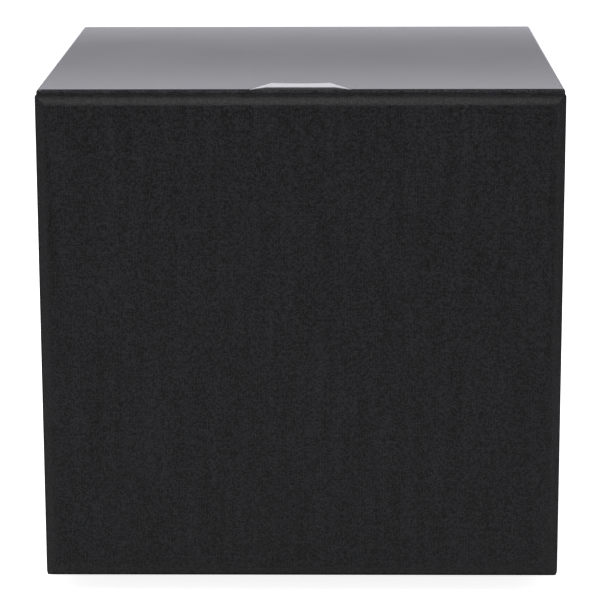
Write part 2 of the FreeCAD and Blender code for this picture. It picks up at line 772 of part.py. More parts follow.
def driver_turned(points, angle=360.0, start=0.0):
    return turned(points, 0.0, MIDDLE_Z, FRONT_Y, angle, start)


def driver_screw_places():
    return ring_places(DRIVER_SCREW_COUNT, DRIVER_SCREW_CIRCLE, DRIVER_SCREW_FIRST)


def driver_rod(radius, depth0, depth1):
    return rod(radius, 0, MIDDLE_Z, FRONT_Y + depth0, FRONT_Y + depth1)


def ring_sector(radii, depths, angle, middle, slope=0.0):
    """A piece of a ring about the driver's axis, to cut a window with."""
    inner, outer = radii
    front, back = depths
    points = [(inner, front), (outer, front - slope), (outer, back), (inner, back)]
    return driver_turned(points, angle, middle - angle / 2)


def driver_basket():
    points = [
        (FLANGE_RADIUS, FLANGE_THICKNESS),
        (BASKET_RIM_RADIUS, FLANGE_THICKNESS),
        (BASKET_RIM_RADIUS, BASKET_RIM_DEPTH),
        (BASKET_WAIST_RADIUS, BASKET_WAIST_DEPTH),
        (BASKET_CUP_RADIUS, BASKET_CUP_DEPTH),
        (BASKET_CUP_RADIUS, SEAT_DEPTH),
        (BASKET_BORE_RADIUS, SEAT_DEPTH),
        (BASKET_BORE_RADIUS, SEAT_DEPTH - BASKET_FLOOR),
        (PLATE_RADIUS, SEAT_DEPTH - BASKET_FLOOR),
        (SPIDER_LEDGE_RADII[0], SPIDER_DEPTH),
        (SPIDER_LEDGE_RADII[1], SPIDER_DEPTH),
        (LEDGE_RADIUS, BASKET_FLARE_DEPTH),
        (LEDGE_RADIUS, LEDGE_DEPTH),
        (LEDGE_OUTER_RADIUS, LEDGE_DEPTH),
        (LEDGE_OUTER_RADIUS, 0),
        (FLANGE_RADIUS, 0),
    ]
    tools = []
    for k in range(SPOKE_COUNT):
        middle = 360.0 * (k + 0.5) / SPOKE_COUNT
        tools.append(ring_sector(WINDOW_RADII, WINDOW_DEPTHS, WINDOW_ANGLE, middle))
        tools.append(ring_sector(VENT_RADII, VENT_DEPTHS, VENT_ANGLE, middle, VENT_SLOPE))
    radius = DRIVER_SCREW_RADIUS + DRIVER_SCREW_CLEARANCE
    for x, z in driver_screw_places():
        tools.append(rod(radius, x, z, FRONT_Y, FRONT_Y + FLANGE_THICKNESS))
    return cut_all(driver_turned(points), tools)


def driver_gasket():
    """A foam ring under the flange, inside the ring of screws."""
    y0 = FRONT_Y + FLANGE_THICKNESS
    outer = DRIVER_SCREW_CIRCLE - DRIVER_SCREW_RADIUS - GASKET_GAP
    return tube(outer, BAFFLE_HOLE_RADIUS, 0, MIDDLE_Z, y0, y0 + GASKET_THICKNESS)


def headed_screw(head_radius, head, radius, length, x, z, seat_y, into):
    """A plain screw whose head stands on seat_y and whose shank runs into the panel, to +Y or -Y."""
    points = [
        (0, -head * into),
        (head_radius, -head * into),
        (head_radius, 0),
        (radius, 0),
        (radius, length * into),
        (0, length * into),
    ]
    return turned(points, x, z, seat_y)


def driver_screw(x, z):
    head = (DRIVER_SCREW_HEAD_RADIUS, DRIVER_SCREW_HEAD)
    return headed_screw(*head, DRIVER_SCREW_RADIUS, DRIVER_SCREW_LENGTH, x, z, FRONT_Y, 1)


def top_plate():
    depth = SEAT_DEPTH + TOP_PLATE_THICKNESS
    return driver_rod(PLATE_RADIUS, SEAT_DEPTH, depth).cut(driver_rod(GAP_RADIUS, SEAT_DEPTH, depth))


def magnet_ring():
    front = SEAT_DEPTH + TOP_PLATE_THICKNESS
    back = front + MAGNET_THICKNESS
    return driver_rod(MAGNET_RADIUS, front, back).cut(driver_rod(MAGNET_BORE_RADIUS, front, back))


def pole_yoke():
    """Back plate and pole in one piece, with a vent through its middle."""
    front = SEAT_DEPTH + TOP_PLATE_THICKNESS + MAGNET_THICKNESS
    back = front + BACK_PLATE_THICKNESS
    points = [
        (VENT_RADIUS, SEAT_DEPTH - POLE_PROUD),
        (POLE_RADIUS, SEAT_DEPTH - POLE_PROUD),
        (POLE_RADIUS, front),
        (PLATE_RADIUS, front),
        (PLATE_RADIUS, back),
        (VENT_RADIUS, back),
    ]
    return driver_turned(points)


def voice_coil_former():
    length = (FORMER_FRONT_DEPTH, FORMER_BACK_DEPTH)
    return driver_rod(FORMER_RADIUS, *length).cut(driver_rod(FORMER_INNER_RADIUS, *length))


def voice_coil_winding():
    middle = SEAT_DEPTH + TOP_PLATE_THICKNESS / 2
    length = (middle - WINDING_LENGTH / 2, middle + WINDING_LENGTH / 2)
    return driver_rod(WINDING_RADIUS, *length).cut(driver_rod(FORMER_RADIUS, *length))


def spider():
    """Corrugated cloth disc between the coil former and the basket's ledge."""
    first = FORMER_RADIUS + SPIDER_COLLAR
    pitch = (SPIDER_LAST_RADIUS - first) / SPIDER_WAVES
    face_depth = SPIDER_DEPTH - SPIDER_THICKNESS
    front = [(FORMER_RADIUS, face_depth)]
    for k in range(SPIDER_WAVES):
        start = first + k * pitch
        front.append((start + pitch / 4, face_depth - SPIDER_WAVE_HEIGHT))
        front.append((start + pitch * 3 / 4, face_depth + SPIDER_WAVE_HEIGHT))
    front.append((SPIDER_LAST_RADIUS, face_depth))
    front.append((SPIDER_OUTER_RADIUS, face_depth))
    back = [(radius, depth + SPIDER_THICKNESS) for radius, depth in reversed(front)]
    return driver_turned(front + back)


def cone_face_depth(radius):
    """Depth of the cone's front face, a straight flare from its neck to its edge."""
    share = (radius - CONE_NECK_RADIUS) / (CONE_RADIUS - CONE_NECK_RADIUS)
    return CONE_NECK_DEPTH + share * (CONE_EDGE_DEPTH - CONE_NECK_DEPTH)


def cone():
    neck_back = CONE_NECK_DEPTH + CONE_NECK_THICKNESS
    points = [
        (FORMER_RADIUS, cone_face_depth(CONE_NECK_RADIUS)),
        (CONE_NECK_RADIUS, CONE_NECK_DEPTH),
        (CONE_RADIUS, CONE_EDGE_DEPTH),
        (CONE_RADIUS, CONE_EDGE_DEPTH + CONE_THICKNESS),
        (CONE_NECK_RADIUS, neck_back),
        (FORMER_RADIUS, neck_back + CONE_GLUE),
    ]
    return driver_turned(points)


def dust_cap():
    """A shallow dome of a few flares glued on the cone."""
    rim = cone_face_depth(CAP_RADIUS)
    inner_rim = CAP_RADIUS - CAP_THICKNESS
    outer = []
    for k in range(CAP_STEPS):
        share = k / CAP_STEPS
        outer.append((CAP_RADIUS * share, rim - CAP_RISE * (1 - share ** 2)))
    inner = [(radius, depth + CAP_THICKNESS) for radius, depth in reversed(outer)]
    rim_points = [(CAP_RADIUS, rim), (inner_rim, cone_face_depth(inner_rim))]
    return driver_turned(outer + rim_points + inner)


def roll_points(middle, base, radius):
    """Half a ring's cross-section, from its inner foot over its crest to its outer foot."""
    points = []
    for k in range(ROLL_STEPS + 1):
        turn = math.pi * k / ROLL_STEPS
        points.append((middle - radius * math.cos(turn), base - radius * math.sin(turn)))
    return points


def surround():
    """Half-roll of rubber from the cone's edge to the basket's ledge."""
    middle = (CONE_RADIUS + ROLL_OFFSET + LEDGE_RADIUS) / 2
    lip = LEDGE_DEPTH - ROLL_THICKNESS
    glued = CONE_RADIUS - GLUED_WIDTH
    outside = roll_points(middle, lip, ROLL_RADIUS)
    inside = roll_points(middle, LEDGE_DEPTH, ROLL_RADIUS - ROLL_THICKNESS)
    glued_face = cone_face_depth(glued)
    points = [(glued, glued_face), (glued + ROLL_THICKNESS / 2, glued_face - ROLL_THICKNESS)]
    points += outside
    points += [(LEDGE_OUTER_RADIUS, lip), (LEDGE_OUTER_RADIUS, LEDGE_DEPTH)]
    points += reversed(inside)
    points.append((CONE_RADIUS, CONE_EDGE_DEPTH))
    return driver_turned(points)


def terminal_strip(basket):
    """A small board on the basket's cup with two solder tags standing up from it."""
    low, high = (MIDDLE_Z + rise for rise in TERMINAL_RISE)
    front, back = (FRONT_Y + depth for depth in TERMINAL_DEPTHS)
    strip = block(-TERMINAL_WIDTH / 2, TERMINAL_WIDTH / 2, front, back, low, high).cut(basket)
    y0 = FRONT_Y + TAG_DEPTH
    for x in (-TAG_X, TAG_X):
        tag = block(x - TAG_WIDTH / 2, x + TAG_WIDTH / 2, y0, y0 + TAG_THICKNESS, high, high + TAG_LENGTH)
        strip = strip.fuse(tag)
    return strip


# ---- Plate amplifier ----------------------------------------------------------------------


def amp_screw_places():
    half_x = AMP_WIDTH / 2 - AMP_SCREW_EDGE
    half_z = AMP_HEIGHT / 2 - AMP_SCREW_EDGE
    for x in (-half_x, half_x):
        for share in (-1, -1 / 3, 1 / 3, 1):
            yield x, MIDDLE_Z + share * half_z
    for z in (-half_z, half_z):
        yield 0.0, MIDDLE_Z + z


def cut_out(y0, y1):
    return rounded_slab(AMP_WIDTH - 2 * AMP_LIP, AMP_HEIGHT - 2 * AMP_LIP, AMP_CORNER, y0, y1)


def back_panel():
    """Panel with a cut-out for the amplifier and a rebate in which its plate lies flush."""
    front = BACK_Y - WALL
    floor = PLATE_INNER_Y - AMP_GASKET
    play = 2 * REBATE_CLEARANCE
    panel = centred_block(0, MIDDLE_Z, 2 * INNER_HALF_X, 2 * INNER_HALF_Z, front, BACK_Y)
    rebate = rounded_slab(AMP_WIDTH + play, AMP_HEIGHT + play, AMP_CORNER, floor, BACK_Y)
    tools = [rebate, cut_out(front, BACK_Y)]
    for x, z in amp_screw_places():
        tools.append(rod(AMP_SCREW_RADIUS, x, z, BACK_Y - AMP_SCREW_LENGTH, BACK_Y))
    return cut_all(panel, tools)


def amp_gasket():
    """A foam strip under the plate, between the screws and the cut-out."""
    y0 = PLATE_INNER_Y - AMP_GASKET
    margin = 2 * (AMP_SCREW_EDGE + AMP_SCREW_RADIUS + AMP_GASKET_GAP)
    strip = rounded_slab(AMP_WIDTH - margin, AMP_HEIGHT - margin, AMP_CORNER, y0, PLATE_INNER_Y)
    return strip.cut(cut_out(y0, PLATE_INNER_Y))


def amp_screw(x, z):
    head = (AMP_SCREW_HEAD_RADIUS, AMP_SCREW_HEAD)
    return headed_screw(*head, AMP_SCREW_RADIUS, AMP_SCREW_LENGTH, x, z, BACK_Y, -1)


def amp_plate():
    plate = rounded_slab(AMP_WIDTH, AMP_HEIGHT, AMP_CORNER, PLATE_INNER_Y, BACK_Y)
    depths = (PLATE_INNER_Y, BACK_Y)
    rounds = [(AMP_SCREW_RADIUS + AMP_SCREW_CLEARANCE, x, z) for x, z in amp_screw_places()]
    rounds += [(BUSHING_RADIUS, x, CONTROL_Z) for x in (VOLUME_X, CROSSOVER_X)]
    rounds += [(RCA_THREAD_RADIUS, x, RCA_Z) for x in RCA_XS]
    rounds.append((LED_RADIUS, LED_X, CONTROL_Z))
    rounds.append((TOROID_BOLT_RADIUS, TOROID_X, TOROID_Z))
    holes = [rod(*place, *depths) for place in rounds]
    holes += [slider_slot(x, *depths) for x in (PHASE_X, MODE_X)]
    holes.append(centred_block(INLET_X, INLET_Z, INLET_BODY_WIDTH, INLET_BODY_HEIGHT, *depths))
    holes.append(centred_block(ROCKER_X, ROCKER_Z, ROCKER_BODY_WIDTH, ROCKER_BODY_HEIGHT, *depths))
    return cut_all(plate, holes)


def heat_sink():
    """Extruded sink: a base with tapered upright fins, the outer ones shorter."""
    half = SINK_WIDTH / 2
    pitch = (SINK_WIDTH - SINK_FIN) / (SINK_FIN_COUNT - 1)
    points = [(-half, 0), (half, 0)]
    for k in reversed(range(SINK_FIN_COUNT)):
        x = -half + SINK_FIN / 2 + k * pitch
        depth = SINK_DEPTH if 0 < k < SINK_FIN_COUNT - 1 else SINK_OUTER_DEPTH
        points.append((x + SINK_FIN / 2, SINK_BASE))
        points.append((x + SINK_FIN_TIP / 2, depth))
        points.append((x - SINK_FIN_TIP / 2, depth))
        points.append((x - SINK_FIN / 2, SINK_BASE))
    low = MIDDLE_Z + SINK_RISE - SINK_HEIGHT / 2
    face = outline(points, lambda u, v: Vector(u, BACK_Y + v, low))
    return face.extrude(Vector(0, 0, SINK_HEIGHT))


def knob_shaft(x):
    """Shaft with a flat on its outer end, from inside the potentiometer into the knob."""
    y0 = PLATE_INNER_Y - POT_DEPTH + SHAFT_ROOT
    y1 = BACK_Y + KNOB_LENGTH - SHAFT_TIP
    shaft = rod(SHAFT_RADIUS, x, CONTROL_Z, y0, y1)
    flat_z = CONTROL_Z + SHAFT_FLAT
    reach = 2 * SHAFT_RADIUS
    flat = block(x - reach, x + reach, BACK_Y + KNOB_GAP + KNOB_WELL_DEPTH, y1, flat_z, flat_z + reach)
    return shaft.cut(flat)


def knob(x, shaft):
    """Fluted knob with a pointer groove and a well that clears the bushing and its nut."""
    floor = KNOB_GAP + KNOB_WELL_DEPTH
    points = [
        (0, floor),
        (KNOB_WELL_RADIUS, floor),
        (KNOB_WELL_RADIUS, KNOB_GAP),
        (KNOB_RADIUS, KNOB_GAP),
        (KNOB_RADIUS, KNOB_GAP + KNOB_SKIRT),
        (KNOB_TOP_RADIUS, KNOB_GAP + KNOB_SKIRT + KNOB_CHAMFER),
        (KNOB_TOP_RADIUS, KNOB_LENGTH - KNOB_CHAMFER),
        (KNOB_TOP_RADIUS - KNOB_CHAMFER, KNOB_LENGTH),
        (0, KNOB_LENGTH),
    ]
    body = turned(points, x, CONTROL_Z, BACK_Y)
    tools = [shaft]
    start = BACK_Y + KNOB_GAP + KNOB_FLUTE_START
    face_y = BACK_Y + KNOB_LENGTH
    reach = KNOB_TOP_RADIUS - KNOB_FLUTE_DEPTH + KNOB_FLUTE_RADIUS
    for u, v in ring_places(KNOB_FLUTES, reach, 180.0 / KNOB_FLUTES, x, CONTROL_Z):
        tools.append(rod(KNOB_FLUTE_RADIUS, u, v, start, face_y))
    groove_z = CONTROL_Z + KNOB_TOP_RADIUS - KNOB_POINTER_LENGTH / 2
    groove_size = (KNOB_POINTER_WIDTH, KNOB_POINTER_LENGTH)
    tools.append(centred_block(x, groove_z, *groove_size, face_y - KNOB_POINTER_DEPTH, face_y))
    return cut_all(body, tools)


def potentiometer(x):
    y0 = PLATE_INNER_Y - POT_DEPTH
    case = centred_block(x, CONTROL_Z, POT_SIZE, POT_SIZE, y0, PLATE_INNER_Y)
    case = case.makeFillet(POT_CORNER, edges_along(case, Y_AXIS))
    bushing_end = BACK_Y + BUSHING_LENGTH
    bushing = rod(BUSHING_RADIUS, x, CONTROL_Z, PLATE_INNER_Y, bushing_end)
    bore = rod(SHAFT_RADIUS + SHAFT_CLEARANCE, x, CONTROL_Z, y0 + POT_FLOOR, bushing_end)
    return fuse_all([case, bushing]).cut(bore)


def pot_nut(x):
    depths = (BACK_Y, BACK_Y + NUT_THICKNESS)
    return hexagon(NUT_ACROSS_FLATS, x, CONTROL_Z, *depths).cut(rod(BUSHING_RADIUS, x, CONTROL_Z, *depths))


def slider_slot(x, y0, y1):
    width = SLIDER_WIDTH + SLIDER_TRAVEL + 2 * SLIDER_CLEARANCE
    height = SLIDER_HEIGHT + 2 * SLIDER_CLEARANCE
    return centred_block(x, CONTROL_Z, width, height, y0, y1)


def switch_body(x):
    y0 = PLATE_INNER_Y - SWITCH_BODY_DEPTH
    body = centred_block(x, CONTROL_Z, SWITCH_BODY_WIDTH, SWITCH_BODY_HEIGHT, y0, PLATE_INNER_Y)
    return body.cut(slider_slot(x, PLATE_INNER_Y - SLIDER_DEPTH - SLIDER_CLEARANCE, PLATE_INNER_Y))


def slider(x):
    """A slide switch's button, at the end of its travel nearer the knobs, with three grip grooves."""
    middle = x + SLIDER_TRAVEL / 2
    y1 = BACK_Y + SLIDER_PROUD
    size = (SLIDER_WIDTH, SLIDER_HEIGHT)
    button = centred_block(middle, CONTROL_Z, *size, PLATE_INNER_Y - SLIDER_DEPTH, y1)
    groove = (SLIDER_GROOVE, SLIDER_HEIGHT)
    tools = []
    for k in (-1, 0, 1):
        x0 = middle + SLIDER_GROOVE_PITCH * k
        tools.append(centred_block(x0, CONTROL_Z, *groove, y1 - SLIDER_GROOVE, y1))
    return cut_all(button, tools)


def power_led():
    points = [
        (0, -AMP_PLATE_THICKNESS - LED_INSIDE),
        (LED_RADIUS, -AMP_PLATE_THICKNESS - LED_INSIDE),
        (LED_RADIUS, LED_PROUD - LED_CHAMFER),
        (LED_RADIUS - LED_CHAMFER, LED_PROUD),
        (0, LED_PROUD),
    ]
    return turned(points, LED_X, CONTROL_Z, BACK_Y)


def rca_shell(x):
    inner_end = -AMP_PLATE_THICKNESS - RCA_INSIDE
    nut_face = RCA_RING + RCA_NUT
    points = [
        (RCA_CORE_RADIUS, inner_end),
        (RCA_THREAD_RADIUS, inner_end),
        (RCA_THREAD_RADIUS, nut_face),
        (RCA_SHELL_RADIUS, nut_face),
        (RCA_SHELL_RADIUS, RCA_PROUD),
        (RCA_CORE_RADIUS, RCA_PROUD),
    ]
    return turned(points, x, RCA_Z, BACK_Y)


def rca_core(x):
    y0 = PLATE_INNER_Y - RCA_INSIDE
    y1 = BACK_Y + RCA_PROUD - RCA_CORE_SINK
    return tube(RCA_CORE_RADIUS, RCA_CONTACT_RADIUS, x, RCA_Z, y0, y1)


def rca_contact(x):
    inner_end = -AMP_PLATE_THICKNESS - RCA_INSIDE - RCA_TAIL
    outer_end = RCA_PROUD - RCA_CONTACT_SINK
    points = [
        (0, inner_end),
        (RCA_CONTACT_RADIUS, inner_end),
        (RCA_CONTACT_RADIUS, outer_end),
        (RCA_CONTACT_BORE, outer_end),
        (RCA_CONTACT_BORE, -RCA_CONTACT_FLOOR),
        (0, -RCA_CONTACT_FLOOR),
    ]
    return turned(points, x, RCA_Z, BACK_Y)


def rca_ring(x):
    return tube(RCA_RING_RADIUS, RCA_THREAD_RADIUS, x, RCA_Z, BACK_Y, BACK_Y + RCA_RING)


def rca_nut(x):
    depths = (BACK_Y + RCA_RING, BACK_Y + RCA_RING + RCA_NUT)
    return hexagon(RCA_NUT_ACROSS_FLATS, x, RCA_Z, *depths).cut(rod(RCA_THREAD_RADIUS, x, RCA_Z, *depths))


def inlet_cavity():
    """The plug's well, whose two upper corners are cut off at 45 degrees."""
    face_y = BACK_Y + INLET_FLANGE
    half = INLET_CAVITY_WIDTH / 2
    low = INLET_Z + INLET_CAVITY_RISE - INLET_CAVITY_HEIGHT / 2
    high = low + INLET_CAVITY_HEIGHT
    chamfer = INLET_CAVITY_CHAMFER
    points = [
        (-half, low),
        (half, low),
        (half, high - chamfer),
        (half - chamfer, high),
        (chamfer - half, high),
        (-half, high - chamfer),
    ]
    mouth = outline(points, lambda u, v: Vector(INLET_X + u, face_y, v))
    return mouth.extrude(Vector(0, -INLET_CAVITY_DEPTH, 0))


def mains_inlet():
    """Three-pin appliance inlet with a bay for the fuse drawer under it."""
    face_y = BACK_Y + INLET_FLANGE
    size = (INLET_WIDTH, INLET_HEIGHT, INLET_CORNER)
    flange = rounded_slab(*size, BACK_Y, face_y, INLET_X, INLET_Z)
    y0 = BACK_Y - INLET_BODY_DEPTH
    body = centred_block(INLET_X, INLET_Z, INLET_BODY_WIDTH, INLET_BODY_HEIGHT, y0, BACK_Y)
    play = 2 * DRAWER_CLEARANCE
    bay_size = (DRAWER_WIDTH + play, DRAWER_HEIGHT + play)
    bay_floor = face_y - DRAWER_DEPTH - DRAWER_CLEARANCE
    bay = centred_block(INLET_X, INLET_Z + DRAWER_RISE, *bay_size, bay_floor, face_y)
    return cut_all(fuse_all([flange, body]), [inlet_cavity(), bay] + inlet_pins())


def inlet_pins():
    middle = INLET_Z + INLET_CAVITY_RISE
    floor = BACK_Y + INLET_FLANGE - INLET_CAVITY_DEPTH
    length = (BACK_Y - INLET_BODY_DEPTH - PIN_TAIL, floor + PIN_LENGTH)
    pins = []
    for x, z in ((-PIN_PITCH, -PIN_OFFSET), (0.0, PIN_OFFSET), (PIN_PITCH, -PIN_OFFSET)):
        pins.append(centred_block(INLET_X + x, middle + z, PIN_WIDTH, PIN_HEIGHT, *length))
    return pins


def fuse_drawer():
    """Drawer with a tray for the fuse and a finger notch under its face."""
    z = INLET_Z + DRAWER_RISE
    face_y = BACK_Y + INLET_FLANGE
    back_y = face_y - DRAWER_DEPTH
    drawer = centred_block(INLET_X, z, DRAWER_WIDTH, DRAWER_HEIGHT, back_y, face_y)
    tray_size = (FUSE_LENGTH + 2 * FUSE_PLAY, DRAWER_HEIGHT)
    tray = centred_block(INLET_X, z + DRAWER_FLOOR, *tray_size, back_y + DRAWER_BACK, face_y - DRAWER_FRONT)
    notch_z = z - DRAWER_HEIGHT / 2
    notch = centred_block(INLET_X, notch_z, *DRAWER_NOTCH, face_y - DRAWER_NOTCH_DEPTH, face_y)
    return cut_all(drawer, [tray, notch])


def fuse():
    """Glass fuse lying across the drawer's tray: a glass tube and two metal caps."""
    tray_z = INLET_Z + DRAWER_RISE + DRAWER_FLOOR - DRAWER_HEIGHT / 2
    z = tray_z + FUSE_RADIUS + FUSE_LIFT
    y = BACK_Y + INLET_FLANGE - DRAWER_FRONT - DRAWER_BACK - FUSE_RADIUS
    x0 = INLET_X - FUSE_LENGTH / 2
    glass_length = FUSE_LENGTH - 2 * FUSE_CAP
    glass = Part.makeCylinder(FUSE_GLASS_RADIUS, glass_length, Vector(x0 + FUSE_CAP, y, z), X_AXIS)
    caps = []
    for x in (x0, x0 + FUSE_LENGTH - FUSE_CAP):
        caps.append(Part.makeCylinder(FUSE_RADIUS, FUSE_CAP, Vector(x, y, z), X_AXIS))
    return [glass] + caps


def rocker_housing():
    face_y = BACK_Y + ROCKER_BEZEL
    bezel_size = (ROCKER_BEZEL_WIDTH, ROCKER_BEZEL_HEIGHT, ROCKER_BEZEL_CORNER)
    bezel = rounded_slab(*bezel_size, BACK_Y, face_y, ROCKER_X, ROCKER_Z)
    body_size = (ROCKER_BODY_WIDTH, ROCKER_BODY_HEIGHT)
    body = centred_block(ROCKER_X, ROCKER_Z, *body_size, BACK_Y - ROCKER_BODY_DEPTH, BACK_Y)
    well_size = (ROCKER_WELL_WIDTH, ROCKER_WELL_HEIGHT)
    well = centred_block(ROCKER_X, ROCKER_Z, *well_size, face_y - ROCKER_WELL_DEPTH, face_y)
    bore = rocker_pin(ROCKER_PIN_BORE, ROCKER_PIN_REACH + ROCKER_PIN_END)
    return cut_all(fuse_all([bezel, body]), [well, bore])


def rocker_pin(radius, reach):
    length = ROCKER_WELL_WIDTH + 2 * reach
    start = Vector(ROCKER_X - length / 2, BACK_Y, ROCKER_Z)
    return Part.makeCylinder(radius, length, start, X_AXIS)


def power_rocker():
    """The switch's rocker on its two stub pins, at rest with its lower end pressed in."""
    shoulder, drop = ROCKER_SHOULDER
    points = [
        (ROCKER_HALF, ROCKER_TIP),
        (0, ROCKER_MIDDLE),
        (-ROCKER_HALF, ROCKER_TIP),
        (-shoulder, drop),
        (-ROCKER_ROOT_HALF, -ROCKER_ROOT),
        (ROCKER_ROOT_HALF, -ROCKER_ROOT),
        (shoulder, drop),
    ]
    x0 = ROCKER_X - ROCKER_WIDTH / 2
    face = outline(points, lambda u, v: Vector(x0, BACK_Y + v, ROCKER_Z + u))
    rocker = face.extrude(Vector(ROCKER_WIDTH, 0, 0))
    rocker = rocker.fuse(rocker_pin(ROCKER_PIN_RADIUS, ROCKER_PIN_REACH)).removeSplitter()
    rocker.rotate(Vector(ROCKER_X, BACK_Y, ROCKER_Z), X_AXIS, -ROCKER_TILT)
    return rocker


def toroid():
    """Wrapped ring core whose outer edges slope, round the bolt that holds it."""
    y0, y1 = TOROID_FRONT_Y, TOROID_BACK_Y
    points = [
        (TOROID_BORE, y0),
        (TOROID_RADIUS - TOROID_EDGE, y0),
        (TOROID_RADIUS, y0 + TOROID_EDGE),
        (TOROID_RADIUS, y1 - TOROID_EDGE),
        (TOROID_RADIUS - TOROID_EDGE, y1),
        (TOROID_BORE, y1),
    ]
    return turned(points, TOROID_X, TOROID_Z, 0.0)


def toroid_pads():
    pads = []
    for y in (TOROID_BACK_Y, TOROID_FRONT_Y - TOROID_PAD):
        radius = TOROID_RADIUS - TOROID_EDGE
        pads.append(tube(radius, TOROID_BOLT_RADIUS, TOROID_X, TOROID_Z, y, y + TOROID_PAD))
    return pads


def toroid_washer():
    """Dished steel washer that clamps the transformer down."""
    points = [
        (TOROID_BOLT_RADIUS, -TOROID_WASHER),
        (TOROID_WASHER_FLAT, -TOROID_WASHER),
        (TOROID_WASHER_RADIUS - TOROID_WASHER_RIM, -TOROID_WASHER_DISH),
        (TOROID_WASHER_RADIUS, 0),
        (TOROID_BOLT_RADIUS, 0),
    ]
    return turned(points, TOROID_X, TOROID_Z, TOROID_FRONT_Y - TOROID_PAD)


def toroid_bolt():
    """Bolt through the plate, the transformer and the washer, with its nut at the front."""
    y0 = TOROID_FRONT_Y - TOROID_PAD - TOROID_WASHER
    place = (TOROID_X, TOROID_Z)
    shank = rod(TOROID_BOLT_RADIUS, *place, y0, BACK_Y)
    nut = hexagon(TOROID_NUT_ACROSS_FLATS, *place, y0 - TOROID_NUT, y0)
    head = rod(TOROID_BOLT_HEAD_RADIUS, *place, BACK_Y, BACK_Y + TOROID_BOLT_HEAD)
    return fuse_all([shank, nut, head])


def amp_board():
    depths = (BOARD_Y, BOARD_Y + BOARD_THICKNESS)
    board = centred_block(0, BOARD_Z, BOARD_WIDTH, BOARD_HEIGHT, *depths)
    return cut_all(board, [rod(BOARD_HOLE_RADIUS, x, z, *depths) for x, z in standoff_places()])


def standoff_places():
    half_x = BOARD_WIDTH / 2 - STANDOFF_INSET
    half_z = BOARD_HEIGHT / 2 - STANDOFF_INSET
    for x in (-half_x, half_x):
        for z in (BOARD_Z - half_z, BOARD_Z + half_z):
            yield x, z


def board_standoff(x, z):
    return hexagon(2 * STANDOFF_RADIUS, x, z, BOARD_Y + BOARD_THICKNESS, PLATE_INNER_Y)


def capacitor(x):
    points = [
        (0, -CAPACITOR_LENGTH),
        (CAPACITOR_RADIUS - CAPACITOR_EDGE, -CAPACITOR_LENGTH),
        (CAPACITOR_RADIUS, CAPACITOR_EDGE - CAPACITOR_LENGTH),
        (CAPACITOR_RADIUS, 0),
        (0, 0),
    ]
    return turned(points, x, MIDDLE_Z + CAPACITOR_RISE, BOARD_Y)


def transistor(x):
    z = MIDDLE_Z + TRANSISTOR_RISE
    depths = (PLATE_INNER_Y - TRANSISTOR_THICKNESS, PLATE_INNER_Y)
    package = centred_block(x, z, *TRANSISTOR_SIZE, *depths)
    return package.cut(rod(TRANSISTOR_HOLE_RADIUS, x, z + TRANSISTOR_HOLE_RISE, *depths))


# ---- All nodes ----------------------------------------------------------------------------


def group(solids):
    return Part.makeCompound(list(solids))


def cabinet_nodes():
    wrap = cabinet_wrap()
    badge = badge_body()
    return {
        "top_panel": mitred_panel(wrap, "top").cut(badge_pocket()),
        "bottom_panel": bottom_panel(wrap),
        "left_panel": mitred_panel(wrap, "left"),
        "right_panel": mitred_panel(wrap, "right"),
        "front_baffle": front_baffle(),
        "back_panel": back_panel(),
        "window_brace": window_brace(),
        "wadding": group(wadding(side) for side in (-1, 1)),
        "badge_plate": badge_plate(badge),
        "badge_carrier": badge_carrier(badge),
        "feet": group(foot(x, y) for x, y in foot_places()),
        "foot_screws": group(foot_screw(x, y) for x, y in foot_places()),
    }


def grille_nodes():
    return {
        "grille_cloth": grille_cloth(),
        "grille_frame": grille_frame(),
        "grille_pegs": group(grille_peg(x, z) for x, z in peg_places()),
        "grille_sockets": group(grille_socket(x, z) for x, z in peg_places()),
    }


def driver_nodes():
    basket = driver_basket()
    return {
        "driver_basket": basket,
        "driver_gasket": driver_gasket(),
        "driver_screws": group(driver_screw(x, z) for x, z in driver_screw_places()),
        "top_plate": top_plate(),
        "magnet_ring": magnet_ring(),
        "pole_yoke": pole_yoke(),
        "terminal_strip": terminal_strip(basket),
        "spider": spider(),
        "surround": surround(),
        "cone": cone(),
        "dust_cap": dust_cap(),
        "voice_coil_former": voice_coil_former(),
        "voice_coil_winding": voice_coil_winding(),
    }


